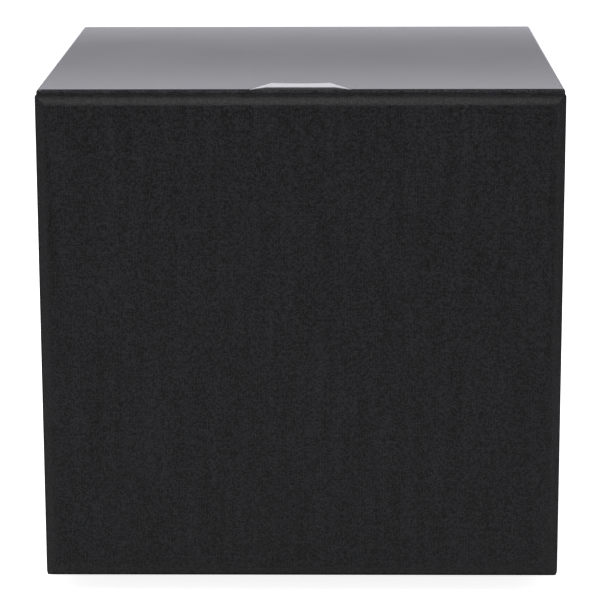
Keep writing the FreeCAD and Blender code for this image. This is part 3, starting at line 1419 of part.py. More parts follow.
def amplifier_nodes():
    volume_shaft = knob_shaft(VOLUME_X)
    crossover_shaft = knob_shaft(CROSSOVER_X)
    nuts = [pot_nut(x) for x in (VOLUME_X, CROSSOVER_X)] + [rca_nut(x) for x in RCA_XS]
    components = [capacitor(x) for x in CAPACITOR_XS] + [transistor(x) for x in TRANSISTOR_XS]
    return {
        "amp_plate": amp_plate(),
        "amp_gasket": amp_gasket(),
        "amp_screws": group(amp_screw(x, z) for x, z in amp_screw_places()),
        "heat_sink": heat_sink(),
        "volume_knob": knob(VOLUME_X, volume_shaft),
        "volume_shaft": volume_shaft,
        "crossover_knob": knob(CROSSOVER_X, crossover_shaft),
        "crossover_shaft": crossover_shaft,
        "potentiometers": group(potentiometer(x) for x in (VOLUME_X, CROSSOVER_X)),
        "switch_bodies": group(switch_body(x) for x in (PHASE_X, MODE_X)),
        "phase_slider": slider(PHASE_X),
        "mode_slider": slider(MODE_X),
        "power_led": power_led(),
        "rca_shells": group(rca_shell(x) for x in RCA_XS),
        "rca_cores": group(rca_core(x) for x in RCA_XS),
        "rca_contacts": group(rca_contact(x) for x in RCA_XS),
        "rca_ring_white": rca_ring(RCA_XS[0]),
        "rca_ring_red": rca_ring(RCA_XS[1]),
        "control_nuts": group(nuts),
        "mains_inlet": mains_inlet(),
        "inlet_pins": group(inlet_pins()),
        "fuse_drawer": fuse_drawer(),
        "fuse": group(fuse()),
        "rocker_housing": rocker_housing(),
        "power_rocker": power_rocker(),
        "toroid": toroid(),
        "toroid_pads": group(toroid_pads()),
        "toroid_clamp": group([toroid_washer(), toroid_bolt()]),
        "amp_board": amp_board(),
        "board_standoffs": group(board_standoff(x, z) for x, z in standoff_places()),
        "board_components": group(components),
    }


def main():
    os.makedirs("parts", exist_ok=True)
    nodes = {}
    for family in (cabinet_nodes, grille_nodes, driver_nodes, amplifier_nodes):
        nodes.update(family())
    for name, shape in nodes.items():
        if not shape.isValid():
            raise RuntimeError(name + " isn't a valid shape")
        shape.exportStep(os.path.join("parts", name + ".step"))
        print("%-20s %2d solids %9.1f cm3" % (name, len(shape.Solids), shape.Volume / 1000))


main()
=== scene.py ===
import math

import bmesh
import bpy
from bpy.props import FloatProperty, FloatVectorProperty, IntProperty, PointerProperty
from mathutils import Matrix, Vector
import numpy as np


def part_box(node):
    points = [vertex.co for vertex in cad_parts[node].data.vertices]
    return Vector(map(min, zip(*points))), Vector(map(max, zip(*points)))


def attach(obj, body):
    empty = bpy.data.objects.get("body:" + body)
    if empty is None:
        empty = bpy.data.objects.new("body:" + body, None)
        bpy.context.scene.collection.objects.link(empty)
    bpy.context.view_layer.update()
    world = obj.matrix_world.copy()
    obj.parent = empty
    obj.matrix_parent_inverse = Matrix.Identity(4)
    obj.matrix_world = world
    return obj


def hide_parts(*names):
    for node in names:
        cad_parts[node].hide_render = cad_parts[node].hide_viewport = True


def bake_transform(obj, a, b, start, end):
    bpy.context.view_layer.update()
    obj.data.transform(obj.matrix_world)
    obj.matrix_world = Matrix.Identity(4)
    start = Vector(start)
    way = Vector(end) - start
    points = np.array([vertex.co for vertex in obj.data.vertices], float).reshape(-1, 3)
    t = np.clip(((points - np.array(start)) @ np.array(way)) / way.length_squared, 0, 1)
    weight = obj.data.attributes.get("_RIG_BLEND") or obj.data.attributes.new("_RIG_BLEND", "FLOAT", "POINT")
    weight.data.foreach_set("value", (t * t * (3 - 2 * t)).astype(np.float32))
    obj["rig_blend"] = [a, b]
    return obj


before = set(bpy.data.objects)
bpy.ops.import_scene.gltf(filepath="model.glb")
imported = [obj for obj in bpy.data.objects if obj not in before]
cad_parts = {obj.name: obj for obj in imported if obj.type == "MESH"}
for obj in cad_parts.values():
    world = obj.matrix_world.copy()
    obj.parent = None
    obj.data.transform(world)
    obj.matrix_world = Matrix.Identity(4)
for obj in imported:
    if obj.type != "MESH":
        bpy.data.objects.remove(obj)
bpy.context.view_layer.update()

bl_info = {
    "name": "Powered subwoofer",
    "version": (1, 0, 0),
    "blender": (4, 5, 0),
    "location": "3D View > Sidebar > Subwoofer",
    "description": "Dresses the packed cabinet, grille, driver and plate amplifier",
    "category": "Object",
}

# ---- Places and sizes, in metres ----------------------------------------------------------

CLOTH_LOW, CLOTH_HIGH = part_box("grille_cloth")
BAFFLE_LOW, BAFFLE_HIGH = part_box("front_baffle")
PLATE_LOW, PLATE_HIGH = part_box("amp_plate")
PLATE_HALF_WIDTH = (PLATE_HIGH.x - PLATE_LOW.x) / 2
PLATE_HALF_HEIGHT = (PLATE_HIGH.z - PLATE_LOW.z) / 2
PLATE_BACK = PLATE_HIGH.y
MIDDLE_Z = (BAFFLE_LOW.z + BAFFLE_HIGH.z) / 2
CABINET_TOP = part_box("top_panel")[1].z
DRIVER_CENTRE = (0.0, BAFFLE_LOW.y, MIDDLE_Z)

# The grille: the rounding of its front edges and of its four corners, and the cloth's turn-in behind
ROUNDOVER = 0.013
GRILLE_CORNER = 0.005
HEM = 0.0092

# The cone's front face runs straight from its neck to its rim: radius, and depth behind the baffle's face
NECK_RADIUS, NECK_DEPTH = 0.028, 0.043
RIM_RADIUS, RIM_DEPTH = 0.090, 0.006

# Where cone and spider end, just clear of the coil's former, and how deep the basket's front ledge lies
BORE_RADIUS = 0.0259
LEDGE_DEPTH = 0.004

# Ink on the plate: where its middle lies, half its thickness, and how tall the figures are
INK_PLANE = PLATE_BACK + 0.00005
INK_HALF = 0.0001
FIGURE_HEIGHT = 0.0032


def middle_of(node):
    low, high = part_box(node)
    return (low + high) / 2


# ---- Settings -----------------------------------------------------------------------------


class FinishSettings(bpy.types.PropertyGroup):
    lacquer: FloatVectorProperty(
        name="Lacquer", description="Colour of the cabinet's lacquer", subtype="COLOR",
        size=3, min=0, max=1, default=(0.020, 0.020, 0.022),
    )
    lacquer_roughness: FloatProperty(
        name="Lacquer roughness", description="How far the lacquer blurs what it mirrors",
        subtype="FACTOR", min=0, max=1, default=0.13,
    )
    cloth: FloatVectorProperty(
        name="Cloth", description="Colour of the grille's yarn", subtype="COLOR",
        size=3, min=0, max=1, default=(0.0054, 0.0054, 0.0058),
    )
    knit_pitch: FloatProperty(
        name="Knit pitch", description="Distance between the cloth's loops",
        subtype="DISTANCE", unit="LENGTH", min=0.0003, max=0.005, default=0.0011,
    )
    badge: FloatVectorProperty(
        name="Badge", description="Colour of the badge's metal", subtype="COLOR",
        size=3, min=0, max=1, default=(0.88, 0.88, 0.90),
    )
    plastic: FloatVectorProperty(
        name="Plastic", description="Colour of the black mouldings", subtype="COLOR",
        size=3, min=0, max=1, default=(0.018, 0.018, 0.019),
    )


class DriverSettings(bpy.types.PropertyGroup):
    cone_edge: FloatProperty(
        name="Cone edge", description="Radius at which the surround starts",
        subtype="DISTANCE", unit="LENGTH", min=0.05, max=0.12, default=RIM_RADIUS,
    )
    ledge: FloatProperty(
        name="Ledge", description="Radius at which the surround lands on the basket",
        subtype="DISTANCE", unit="LENGTH", min=0.08, max=0.13, default=0.112,
    )
    roll: FloatProperty(
        name="Roll", description="Half the width of the surround's roll",
        subtype="DISTANCE", unit="LENGTH", min=0.004, max=0.015, default=0.0095,
    )
    turns: IntProperty(
        name="Steps round", description="Steps round each turned piece", min=24, max=256, default=128,
    )


class StageSettings(bpy.types.PropertyGroup):
    lens: FloatProperty(
        name="Lens", description="Focal length for a 36 mm sensor", min=20, max=400, default=157.08,
    )
    key_power: FloatProperty(
        name="Key light", description="Power of the soft light in front and above",
        subtype="POWER", unit="POWER", min=0, max=1000, default=60.0,
    )
    fill_power: FloatProperty(
        name="Fill light", description="Power of each side light",
        subtype="POWER", unit="POWER", min=0, max=1000, default=9.5,
    )
    strip_power: FloatProperty(
        name="Strip light", description="Power of each strip light behind, which the lacquer mirrors",
        subtype="POWER", unit="POWER", min=0, max=100, default=0.16,
    )
    surround_level: FloatProperty(
        name="Surround level", description="Strength of the even light from all round",
        min=0, max=2, default=0.42,
    )
    front_level: FloatProperty(
        name="Front level", description="How bright mirrors see the studio in front of the object",
        min=0, max=2, default=0.12,
    )
    back_level: FloatProperty(
        name="Back level", description="How bright mirrors see the studio behind the object",
        min=0, max=2, default=0.405,
    )


# ---- Ways of making pieces ----------------------------------------------------------------


def clear_selection():
    if bpy.context.object and bpy.context.object.mode != "OBJECT":
        bpy.ops.object.mode_set(mode="OBJECT")
    bpy.ops.object.select_all(action="DESELECT")


def take_up(piece):
    clear_selection()
    piece.select_set(True)
    bpy.context.view_layer.objects.active = piece


def open_all():
    """Goes into edit mode with everything selected."""
    bpy.ops.object.mode_set(mode="EDIT")
    bpy.ops.mesh.select_mode(type="VERT")
    bpy.ops.mesh.select_all(action="SELECT")


def choose(piece, kind, test):
    """Goes into edit mode with only the edges or faces selected that pass a test."""
    take_up(piece)
    bpy.ops.object.mode_set(mode="EDIT")
    bpy.ops.mesh.select_mode(type=kind)
    bpy.ops.mesh.select_all(action="DESELECT")
    mesh = bmesh.from_edit_mesh(piece.data)
    for part in mesh.edges if kind == "EDGE" else mesh.faces:
        if test(part):
            part.select_set(True)
    mesh.select_flush_mode()
    bmesh.update_edit_mesh(piece.data)


def apply_modifier(piece, name, kind, **settings):
    """Adds a modifier with its settings and makes it part of the mesh."""
    take_up(piece)
    modifier = piece.modifiers.new(name, kind)
    for key, value in settings.items():
        setattr(modifier, key, value)
    bpy.ops.object.modifier_apply(modifier=modifier.name)
    return piece


def settle(piece, name, smooth_degrees=30.0):
    """Names the piece, puts its place into its mesh and turns its faces outwards."""
    take_up(piece)
    piece.name = name
    piece.data.name = name
    bpy.ops.object.transform_apply(location=True, rotation=True, scale=True)
    open_all()
    bpy.ops.mesh.remove_doubles(threshold=1e-6)
    bpy.ops.mesh.normals_make_consistent(inside=False)
    bpy.ops.object.mode_set(mode="OBJECT")
    bpy.ops.object.shade_smooth_by_angle(angle=math.radians(smooth_degrees))
    return piece


def block(low, high):
    """A box from its lowest to its highest corner."""
    clear_selection()
    low, high = Vector(low), Vector(high)
    bpy.ops.mesh.primitive_cube_add(size=1, location=(low + high) / 2, scale=high - low)
    bpy.ops.object.transform_apply(location=True, rotation=True, scale=True)
    return bpy.context.active_object


def stub(place, radius, depth, vertices):
    """A short prism or cylinder that lies along Y."""
    clear_selection()
    bpy.ops.mesh.primitive_cylinder_add(
        vertices=vertices, radius=radius, depth=depth, location=place, rotation=(math.pi / 2, 0, 0)
    )
    return bpy.context.active_object


def soften(piece, width):
    """Rounds every edge of a small piece."""
    return apply_modifier(piece, "Rounded edges", "BEVEL", width=width, segments=2, limit_method="ANGLE")


def combine(piece, other, operation):
    apply_modifier(piece, "Cut", "BOOLEAN", operation=operation, object=other, solver="EXACT")
    bpy.data.objects.remove(other)


def join(pieces):
    take_up(pieces[0])
    for piece in pieces[1:]:
        piece.select_set(True)
    bpy.ops.object.join()
    return bpy.context.view_layer.objects.active


def set_out(first, spots, name):
    """Copies a piece made at the origin to each (place, turn about Y), and joins the copies."""
    copies = []
    for place, turn in spots:
        twin = first.copy()
        twin.data = first.data.copy()
        bpy.context.scene.collection.objects.link(twin)
        twin.data.transform(Matrix.Translation(Vector(place)) @ Matrix.Rotation(turn, 4, "Y"))
        copies.append(twin)
    bpy.data.objects.remove(first)
    return settle(join(copies), name)


def turned(profile, centre, steps, closed=True):
    """Turns a profile of (radius, depth) about the line along Y through centre, ring by ring."""
    clear_selection()
    x, y, z = centre
    radius, depth = profile[0]
    bpy.ops.mesh.primitive_circle_add(
        vertices=steps, radius=radius, fill_type="NOTHING",
        location=(x, y + depth, z), rotation=(math.pi / 2, 0, 0),
    )
    piece = bpy.context.active_object
    bpy.ops.object.transform_apply(location=True, rotation=True, scale=True)
    open_all()
    rings = list(profile[1:])
    if closed:
        rings.append(profile[0])
    for next_radius, next_depth in rings:
        bpy.ops.mesh.extrude_region_move(TRANSFORM_OT_translate={"value": (0, next_depth - depth, 0)})
        share = next_radius / radius
        bpy.ops.transform.resize(value=(share, 1, share), center_override=(x, y + next_depth, z))
        radius, depth = max(next_radius, 1e-7), next_depth  # a ring of no size could not be widened again
    bpy.ops.mesh.select_all(action="SELECT")
    bpy.ops.mesh.remove_doubles(threshold=2e-6)
    bpy.ops.object.mode_set(mode="OBJECT")
    return piece


def turned_screw(profile):
    """A screw about the line along Y through the origin, its two small end holes filled."""
    screw = turned(profile, (0.0, 0.0, 0.0), steps=32, closed=False)
    open_all()
    bpy.ops.mesh.fill_holes(sides=0)
    bpy.ops.mesh.normals_make_consistent(inside=False)
    bpy.ops.object.mode_set(mode="OBJECT")
    return screw


def finish_piece(piece, body, slot, material, *nodes):
    """Gives the piece its material and its body, and hides the CAD nodes that it stands for. The slot is not
    used.
    """
    piece.data.materials.clear()
    piece.data.materials.append(material)
    if nodes:
        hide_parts(*nodes)
    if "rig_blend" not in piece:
        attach(piece, body)


def dress(material, *names):
    """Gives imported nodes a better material."""
    for name in names:
        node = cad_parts[name]
        node.data.materials.clear()
        node.data.materials.append(material)


# ---- Ways of making materials -------------------------------------------------------------


def fill(node, sockets):
    """Gives each named or numbered socket of a node its value, or a link from another node."""
    for key, value in sockets.items():
        if isinstance(value, bpy.types.NodeSocket):
            node.id_data.links.new(value, node.inputs[key])
        else:
            node.inputs[key].default_value = value
    return node


def put(tree, kind, sockets=None, **settings):
    """Adds a node with its settings and what its sockets hold."""
    node = tree.nodes.new(kind)
    for key, value in settings.items():
        setattr(node, key, value)
    return fill(node, sockets or {})


def maths(tree, operation, *values):
    return put(tree, "ShaderNodeMath", dict(enumerate(values)), operation=operation).outputs[0]


def ramp(tree, value, span, reach=(0.0, 1.0)):
    """Runs from one end of reach to the other as the value runs over its span, and stops there."""
    return put(tree, "ShaderNodeMapRange", dict(enumerate((value, *span, *reach)))).outputs["Result"]


def noise(tree, place, scale, detail, roughness):
    sockets = {"Vector": place, "Scale": scale, "Detail": detail, "Roughness": roughness}
    return put(tree, "ShaderNodeTexNoise", sockets).outputs["Fac"]


def stretched(tree, place, factors):
    return put(tree, "ShaderNodeVectorMath", {0: place, 1: factors}, operation="MULTIPLY").outputs[0]


def new_group(name, outputs, **inputs):
    """An empty node group: its tree, what goes in and what comes out. Three values make a vector."""
    tree = bpy.data.node_groups.new(name, "ShaderNodeTree")
    for label, value in inputs.items():
        kind = "NodeSocketVector" if isinstance(value, tuple) else "NodeSocketFloat"
        tree.interface.new_socket(name=label, in_out="INPUT", socket_type=kind).default_value = value
    for label in outputs:
        tree.interface.new_socket(name=label, in_out="OUTPUT", socket_type="NodeSocketFloat")
    return tree, tree.nodes.new("NodeGroupInput").outputs, tree.nodes.new("NodeGroupOutput")


# ---- Effects shared by the materials ------------------------------------------------------


def unevenness_group(name):
    """A fine grain and coarse clouds, each over a size in metres, and a height that follows the grain."""
    tree, entry, leave = new_group(
        name, ("Grain", "Cloud", "Height"), Vector=(0, 0, 0), Size=0.001, Clouds=0.05
    )
    grain = noise(tree, entry["Vector"], maths(tree, "DIVIDE", 1.0, entry["Size"]), 2.0, 0.55)
    cloud = noise(tree, entry["Vector"], maths(tree, "DIVIDE", 1.0, entry["Clouds"]), 2.0, 0.55)
    fill(leave, {"Grain": grain, "Cloud": cloud, "Height": grain})
    return tree


def dust_group(name):
    """Where dust would lie: faces that look up, broken by a noise."""
    tree, entry, leave = new_group(name, ("Mask",), Vector=(0, 0, 0), Amount=0.1)
    normal = put(tree, "ShaderNodeNewGeometry").outputs["Normal"]
    upward = put(tree, "ShaderNodeSeparateXYZ", {0: normal}).outputs["Z"]
    level = ramp(tree, upward, (0.6, 1.0))
    patches = ramp(tree, noise(tree, entry["Vector"], 160.0, 4.0, 0.6), (0.45, 0.75))
    fill(leave, {"Mask": maths(tree, "MULTIPLY", maths(tree, "MULTIPLY", level, patches), entry["Amount"])})
    return tree


def brush_group(name):
    """Fine lines, as on brushed or drawn metal, along the axis that Stretch multiplies least."""
    tree, entry, leave = new_group(name, ("Lines",), Vector=(0, 0, 0), Stretch=(20, 3000, 3000))
    place = stretched(tree, entry["Vector"], entry["Stretch"])
    fill(leave, {"Lines": noise(tree, place, 1.0, 3.0, 0.6)})
    return tree


def knit_group(name):
    """Warp-knitted cloth: columns of chevron loops along Y, uneven by the loop and by the column, with
    painted light and shade that follow each loop's height.
    """
    tree, entry, leave = new_group(name, ("Height", "Tone_and_painted_shade"), Vector=(0, 0, 0), Pitch=0.0011)
    loop_height, fall = 0.8, 1.4  # a loop's height over its width, and how far its yarn falls at the sides
    # relief: how much painted light and shade the loop's height adds, lighter on its crest and darker between
    # loops; chance and streak: real tone by the loop and by the column
    painted_relief_shade, chance, streak, whole = 1.3, 0.95, 0.5, 2.7  # what each adds to the shade, and the full scale
    streak_scale = (110.0, 9.0, 110.0)

    def do(operation, *values):
        return maths(tree, operation, *values)

    flat = put(tree, "ShaderNodeSeparateXYZ", {0: entry["Vector"]}).outputs
    column = do("DIVIDE", flat["X"], entry["Pitch"])
    row = do("DIVIDE", flat["Y"], do("MULTIPLY", entry["Pitch"], loop_height))
    aside = do("ABSOLUTE", do("SUBTRACT", do("FRACT", column), 0.5))
    chevron = do("ADD", row, aside)
    loop = do("SINE", do("MULTIPLY", do("FRACT", chevron), math.pi))
    height = do("MULTIPLY", loop, do("SUBTRACT", 1.0, do("MULTIPLY", aside, fall)))

    cell = put(tree, "ShaderNodeCombineXYZ", {"X": do("FLOOR", column), "Y": do("FLOOR", chevron)}).outputs[0]
    by_loop = put(tree, "ShaderNodeTexWhiteNoise", {"Vector": cell}).outputs["Value"]
    by_column = noise(tree, stretched(tree, entry["Vector"], streak_scale), 1.0, 2.0, 0.6)
    uneven = do("MULTIPLY_ADD", by_loop, chance, do("MULTIPLY", by_column, streak))
    # Painted shade: the loop's height lightens its crest and darkens the yarn between loops, on top of the
    # real unevenness
    tone_and_painted_shade = do("DIVIDE", do("MULTIPLY_ADD", height, painted_relief_shade, uneven), whole)
    fill(leave, {"Height": height, "Tone_and_painted_shade": tone_and_painted_shade})
    return tree


EFFECTS = {
    "unevenness": unevenness_group,
    "dust": dust_group,
    "brushed_lines": brush_group,
    "knit": knit_group,
}


def effect(tree, name, place="Object", **values):
    """Places a shared effect, which reads the piece's own coordinates or, on cloth, its UV map."""
    group = bpy.data.node_groups.get(name) or EFFECTS[name](name)
    coordinates = put(tree, "ShaderNodeTexCoord").outputs[place]
    return put(tree, "ShaderNodeGroup", {"Vector": coordinates, **values}, node_tree=group).outputs


# ---- Materials ----------------------------------------------------------------------------


def new_material(name, colour, roughness, metallic=0.0):
    material = bpy.data.materials.new(name)
    material.use_nodes = True
    material.diffuse_color = (*colour, 1.0)
    shader = material.node_tree.nodes["Principled BSDF"]
    fill(shader, {"Base Color": (*colour, 1.0), "Roughness": roughness, "Metallic": metallic})
    return material, material.node_tree, shader


def vary_colour(shader, mask, colour, low, high, span=(0.3, 0.7)):
    """The base colour runs from low to high times the colour as the mask runs over its span."""
    dark, light = ((*(min(1.0, share * part) for part in colour), 1.0) for share in (low, high))
    sockets = {0: ramp(shader.id_data, mask, span), 6: dark, 7: light}
    mixed = put(shader.id_data, "ShaderNodeMix", sockets, data_type="RGBA").outputs[2]
    fill(shader, {"Base Color": mixed})
    return mixed


def vary_roughness(shader, mask, low, high):
    fill(shader, {"Roughness": ramp(shader.id_data, mask, (0.3, 0.7), (low, high))})


def add_bump(shader, height, strength, distance):
    sockets = {"Strength": strength, "Distance": distance, "Height": height}
    fill(shader, {"Normal": put(shader.id_data, "ShaderNodeBump", sockets).outputs["Normal"]})


def plain_finish(name, colour, roughness, grain=0.0008, depth=0.00003, spread=0.25):
    """A moulded, painted or rubber surface: fine grain, cloudy roughness, slight colour change."""
    material, tree, shader = new_material(name, colour, roughness)
    uneven = effect(tree, "unevenness", Size=grain, Clouds=0.03)
    vary_colour(shader, uneven["Cloud"], colour, 1 - spread, 1 + spread)
    vary_roughness(shader, uneven["Cloud"], max(0.02, roughness - 0.06), min(1.0, roughness + 0.06))
    add_bump(shader, uneven["Height"], 0.5, depth)
    return material


def metal_finish(name, colour, roughness, stretch=(20, 3000, 3000), metallic=1.0):
    """Brushed, drawn, turned or plated metal: fine lines in its colour, gloss and surface."""
    material, tree, shader = new_material(name, colour, roughness, metallic)
    lines = effect(tree, "brushed_lines", Stretch=stretch)["Lines"]
    vary_colour(shader, lines, colour, 0.88, 1.12)
    vary_roughness(shader, lines, max(0.02, roughness - 0.08), roughness + 0.08)
    add_bump(shader, lines, 0.4, 0.000004)
    return material


def fibre_finish(name, colour, size, depth, sheen=0.0, roughness=0.9):
    """Wool, pulp, cotton or board: a coarse grain in its colour and surface."""
    material, tree, shader = new_material(name, colour, roughness)
    uneven = effect(tree, "unevenness", Size=size, Clouds=0.02)
    vary_colour(shader, uneven["Grain"], colour, 0.7, 1.2)
    add_bump(shader, uneven["Height"], 0.8, depth)
    fill(shader, {"Sheen Weight": sheen})
    return material


def glass_finish(name, colour):
    material, tree, shader = new_material(name, colour, 0.05)
    uneven = effect(tree, "unevenness", Size=0.002, Clouds=0.01)
    vary_roughness(shader, uneven["Cloud"], 0.03, 0.09)
    fill(shader, {"Transmission Weight": 0.85, "IOR": 1.5})
    return material


def lacquer_finish(looks):
    """Black lacquer: dark ground, soft gloss, a faint orange peel, a little dust on top."""
    colour, roughness = tuple(looks.lacquer), looks.lacquer_roughness
    material, tree, shader = new_material("black_lacquer", colour, roughness)
    uneven = effect(tree, "unevenness", Size=0.0009, Clouds=0.09)
    dust = effect(tree, "dust", Amount=0.02)["Mask"]
    ground = vary_colour(shader, uneven["Grain"], colour, 0.8, 1.25)
    sockets = {0: dust, 6: ground, 7: (0.25, 0.25, 0.25, 1.0)}
    dusty = put(tree, "ShaderNodeMix", sockets, data_type="RGBA").outputs[2]
    fill(shader, {"Base Color": dusty, "Specular IOR Level": 0.35})
    vary_roughness(shader, uneven["Cloud"], roughness - 0.01, roughness + 0.01)
    add_bump(shader, uneven["Height"], 0.5, 0.00002)
    return material


def cloth_finish(looks):
    """Knitted cloth: dull yarn whose gloss gives way, seen aslant, to a nap of loose fibres, brightened there
    by a painted sheen.
    """
    colour = tuple(looks.cloth)
    material, tree, shader = new_material("knitted_cloth", colour, 0.6)
    knit = effect(tree, "knit", "UV", Pitch=looks.knit_pitch)
    # The yarn's colour carries the knit's painted shade of its loops as well as their real unevenness
    yarn = vary_colour(shader, knit["Tone_and_painted_shade"], colour, 0.0, 3.8, (0.36, 0.66))
    vary_roughness(shader, knit["Tone_and_painted_shade"], 0.44, 0.54)
    add_bump(shader, knit["Height"], 0.3, 0.00025)
    fill(shader, {"Specular IOR Level": 0.16})
    aslant = put(tree, "ShaderNodeLayerWeight").outputs["Facing"]
    # Painted sheen: the nap's colour runs from 0.75 to 3.6 times the yarn's as the cloth is seen more aslant
    painted_sheen_factor = ramp(tree, aslant, (0.35, 0.95), (0.75, 3.6))
    fibres = put(tree, "ShaderNodeVectorMath", {0: yarn, "Scale": painted_sheen_factor}, operation="SCALE").outputs[0]
    nap = put(tree, "ShaderNodeBsdfDiffuse", {"Color": fibres}).outputs[0]
    sockets = {0: ramp(tree, aslant, (0.25, 0.70)), 1: shader.outputs[0], 2: nap}
    fill(tree.nodes["Material Output"], {"Surface": put(tree, "ShaderNodeMixShader", sockets).outputs[0]})
    return material


# ---- Cabinet ------------------------------------------------------------------------------


class SUBWOOFER_OT_cabinet(bpy.types.Operator):
    """Finish the lacquered wrap, the boards and their brace, the feet and their screws"""

    bl_idname = "subwoofer.cabinet"
    bl_label = "Cabinet"

    def execute(self, context):
        lacquer = lacquer_finish(context.scene.subwoofer_finish)
        paint = plain_finish("matt_board_paint", (0.022, 0.022, 0.024), 0.6, grain=0.0015, depth=0.00006)
        rubber = plain_finish("foot_rubber", (0.02, 0.02, 0.02), 0.75, grain=0.0006, depth=0.00005)
        dress(lacquer, "top_panel", "bottom_panel", "left_panel", "right_panel")
        dress(paint, "front_baffle", "back_panel")
        dress(fibre_finish("bare_fibreboard", (0.42, 0.31, 0.20), 0.0015, 0.0001), "window_brace")
        dress(rubber, "feet", "grille_sockets")
        dress(metal_finish("black_oxide_steel", (0.10, 0.10, 0.105), 0.38), "foot_screws")
        return {"FINISHED"}


class SUBWOOFER_OT_wadding(bpy.types.Operator):
    """Model the two batts of wadding against the side walls"""

    bl_idname = "subwoofer.wadding"
    bl_label = "Wadding"

    def execute(self, context):
        low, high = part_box("wadding")
        thickness, margin = 0.022, 0.002
        lumps = bpy.data.textures.new("wool", "CLOUDS")
        lumps.noise_scale = 0.025
        batts = []
        for x0, x1 in ((low.x, low.x + thickness), (high.x - thickness, high.x)):
            batt = block(
                (x0 + margin, low.y + margin, low.z + margin), (x1 - margin, high.y - margin, high.z - margin)
            )
            open_all()
            bpy.ops.mesh.subdivide(number_cuts=9)
            bpy.ops.object.mode_set(mode="OBJECT")
            soften(batt, 0.003)
            apply_modifier(batt, "Lumps", "DISPLACE", texture=lumps, strength=0.003, mid_level=0.7)
            batts.append(batt)
        piece = settle(join(batts), "wool_batts", 60)
        wool = fibre_finish("polyester_wool", (0.72, 0.72, 0.70), 0.003, 0.001, sheen=0.3)
        finish_piece(piece, "cabinet", "wadding", wool, "wadding")
        return {"FINISHED"}


class SUBWOOFER_OT_badge(bpy.types.Operator):
    """Finish the bare badge plate and its dark carrier"""

    bl_idname = "subwoofer.badge"
    bl_label = "Badge"

    def execute(self, context):
        colour = tuple(context.scene.subwoofer_finish.badge)
        dress(metal_finish("brushed_badge", colour, 0.32, (30, 2500, 2500), metallic=0.7), "badge_plate")
        dress(plain_finish("badge_backing", (0.085, 0.085, 0.088), 0.45), "badge_carrier")
        return {"FINISHED"}


# ---- Grille -------------------------------------------------------------------------------


def rounded_bar(low, high, axis):
    """A bar with its two front edges along an axis rounded over."""
    bar = block(low, high)

    def front_edge(edge):
        run = edge.verts[1].co - edge.verts[0].co
        return abs(run.normalized()[axis]) > 0.99 and edge.verts[0].co.y < low[1] + 1e-5

    choose(bar, "EDGE", front_edge)
    bpy.ops.mesh.bevel(offset=ROUNDOVER, segments=10, profile=0.5, affect="EDGES")
    bpy.ops.object.mode_set(mode="OBJECT")
    return bar


def lay_weave(piece, low, high):
    """Gives stretched cloth a UV map in metres that runs on over its edges and meets at the mitres."""
    middle = (low + high) / 2
    while piece.data.uv_layers:
        piece.data.uv_layers.remove(piece.data.uv_layers[0])
    weave = piece.data.uv_layers.new(name="weave")
    for face in piece.data.polygons:
        on_front = face.normal.y < -0.99
        over_top = abs(face.normal.z) > abs(face.normal.x)
        for corner in face.loop_indices:
            place = piece.data.vertices[piece.data.loops[corner].vertex_index].co
            over = 0.0 if on_front else place.y - low.y
            aside, along = place.x - middle.x, place.z - middle.z
            if over_top:
                along += math.copysign(over, along)
            else:
                aside += math.copysign(over, aside)
            weave.data[corner].uv = (aside, along)


class SUBWOOFER_OT_cloth(bpy.types.Operator):
    """Stretch the knitted cloth over the grille's frame, with rounded corners and a hem behind"""

    bl_idname = "subwoofer.cloth"
    bl_label = "Grille cloth"

    def execute(self, context):
        low, high = CLOTH_LOW, CLOTH_HIGH
        skin = block(low, high)

        def side_edge(edge):
            run = edge.verts[1].co - edge.verts[0].co
            return abs(run.normalized().y) > 0.99

        choose(skin, "EDGE", side_edge)
        bpy.ops.mesh.bevel(offset=GRILLE_CORNER, segments=6, profile=0.5, affect="EDGES")
        bpy.ops.object.mode_set(mode="OBJECT")
        spare = 0.02  # how far the two bars that round the front edges stand out past the box
        for axis in (0, 2):
            longer = Vector((spare if axis == 0 else 0, 0, spare if axis == 2 else 0))
            behind = Vector((0, spare, 0))
            combine(skin, rounded_bar(low - longer, high + longer + behind, axis), "INTERSECT")
        choose(skin, "FACE", lambda face: face.normal.y > 0.9)
        bpy.ops.mesh.inset(thickness=HEM)
        bpy.ops.mesh.delete(type="FACE")
        bpy.ops.object.mode_set(mode="OBJECT")
        apply_modifier(skin, "Cloth", "SOLIDIFY", thickness=0.0006, offset=-1.0)
        settle(skin, "stretched_cloth", 25)
        lay_weave(skin, low, high)
        knitted = cloth_finish(context.scene.subwoofer_finish)
        finish_piece(skin, "grille", "grille_cloth", knitted, "grille_cloth")
        return {"FINISHED"}


class SUBWOOFER_OT_grille_frame(bpy.types.Operator):
    """Finish the moulded frame and its pegs"""

    bl_idname = "subwoofer.grille_frame"
    bl_label = "Grille frame"

    def execute(self, context):
        plastic = tuple(context.scene.subwoofer_finish.plastic)
        moulding = plain_finish("moulded_frame", plastic, 0.5, grain=0.0007, depth=0.00006)
        dress(moulding, "grille_frame", "grille_pegs")
        return {"FINISHED"}


# ---- Driver -------------------------------------------------------------------------------


def cone_depth(radius):
    """Depth of the cone's front face behind the baffle's face."""
    return NECK_DEPTH + (radius - NECK_RADIUS) / (RIM_RADIUS - NECK_RADIUS) * (RIM_DEPTH - NECK_DEPTH)


def blend_by_radius(piece, inner, outer):
    """The piece follows the cone inside one radius and the cabinet outside another."""
    x, y, z = DRIVER_CENTRE
    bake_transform(piece, "cabinet", "moving_cone", start=(x + outer, y, z), end=(x + inner, y, z))
    weights = []
    for vertex in piece.data.vertices:
        radius = math.hypot(vertex.co.x - x, vertex.co.z - z)
        share = min(1.0, max(0.0, (outer - radius) / (outer - inner)))
        weights.append(share * share * (3 - 2 * share))
    piece.data.attributes["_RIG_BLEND"].data.foreach_set("value", weights)


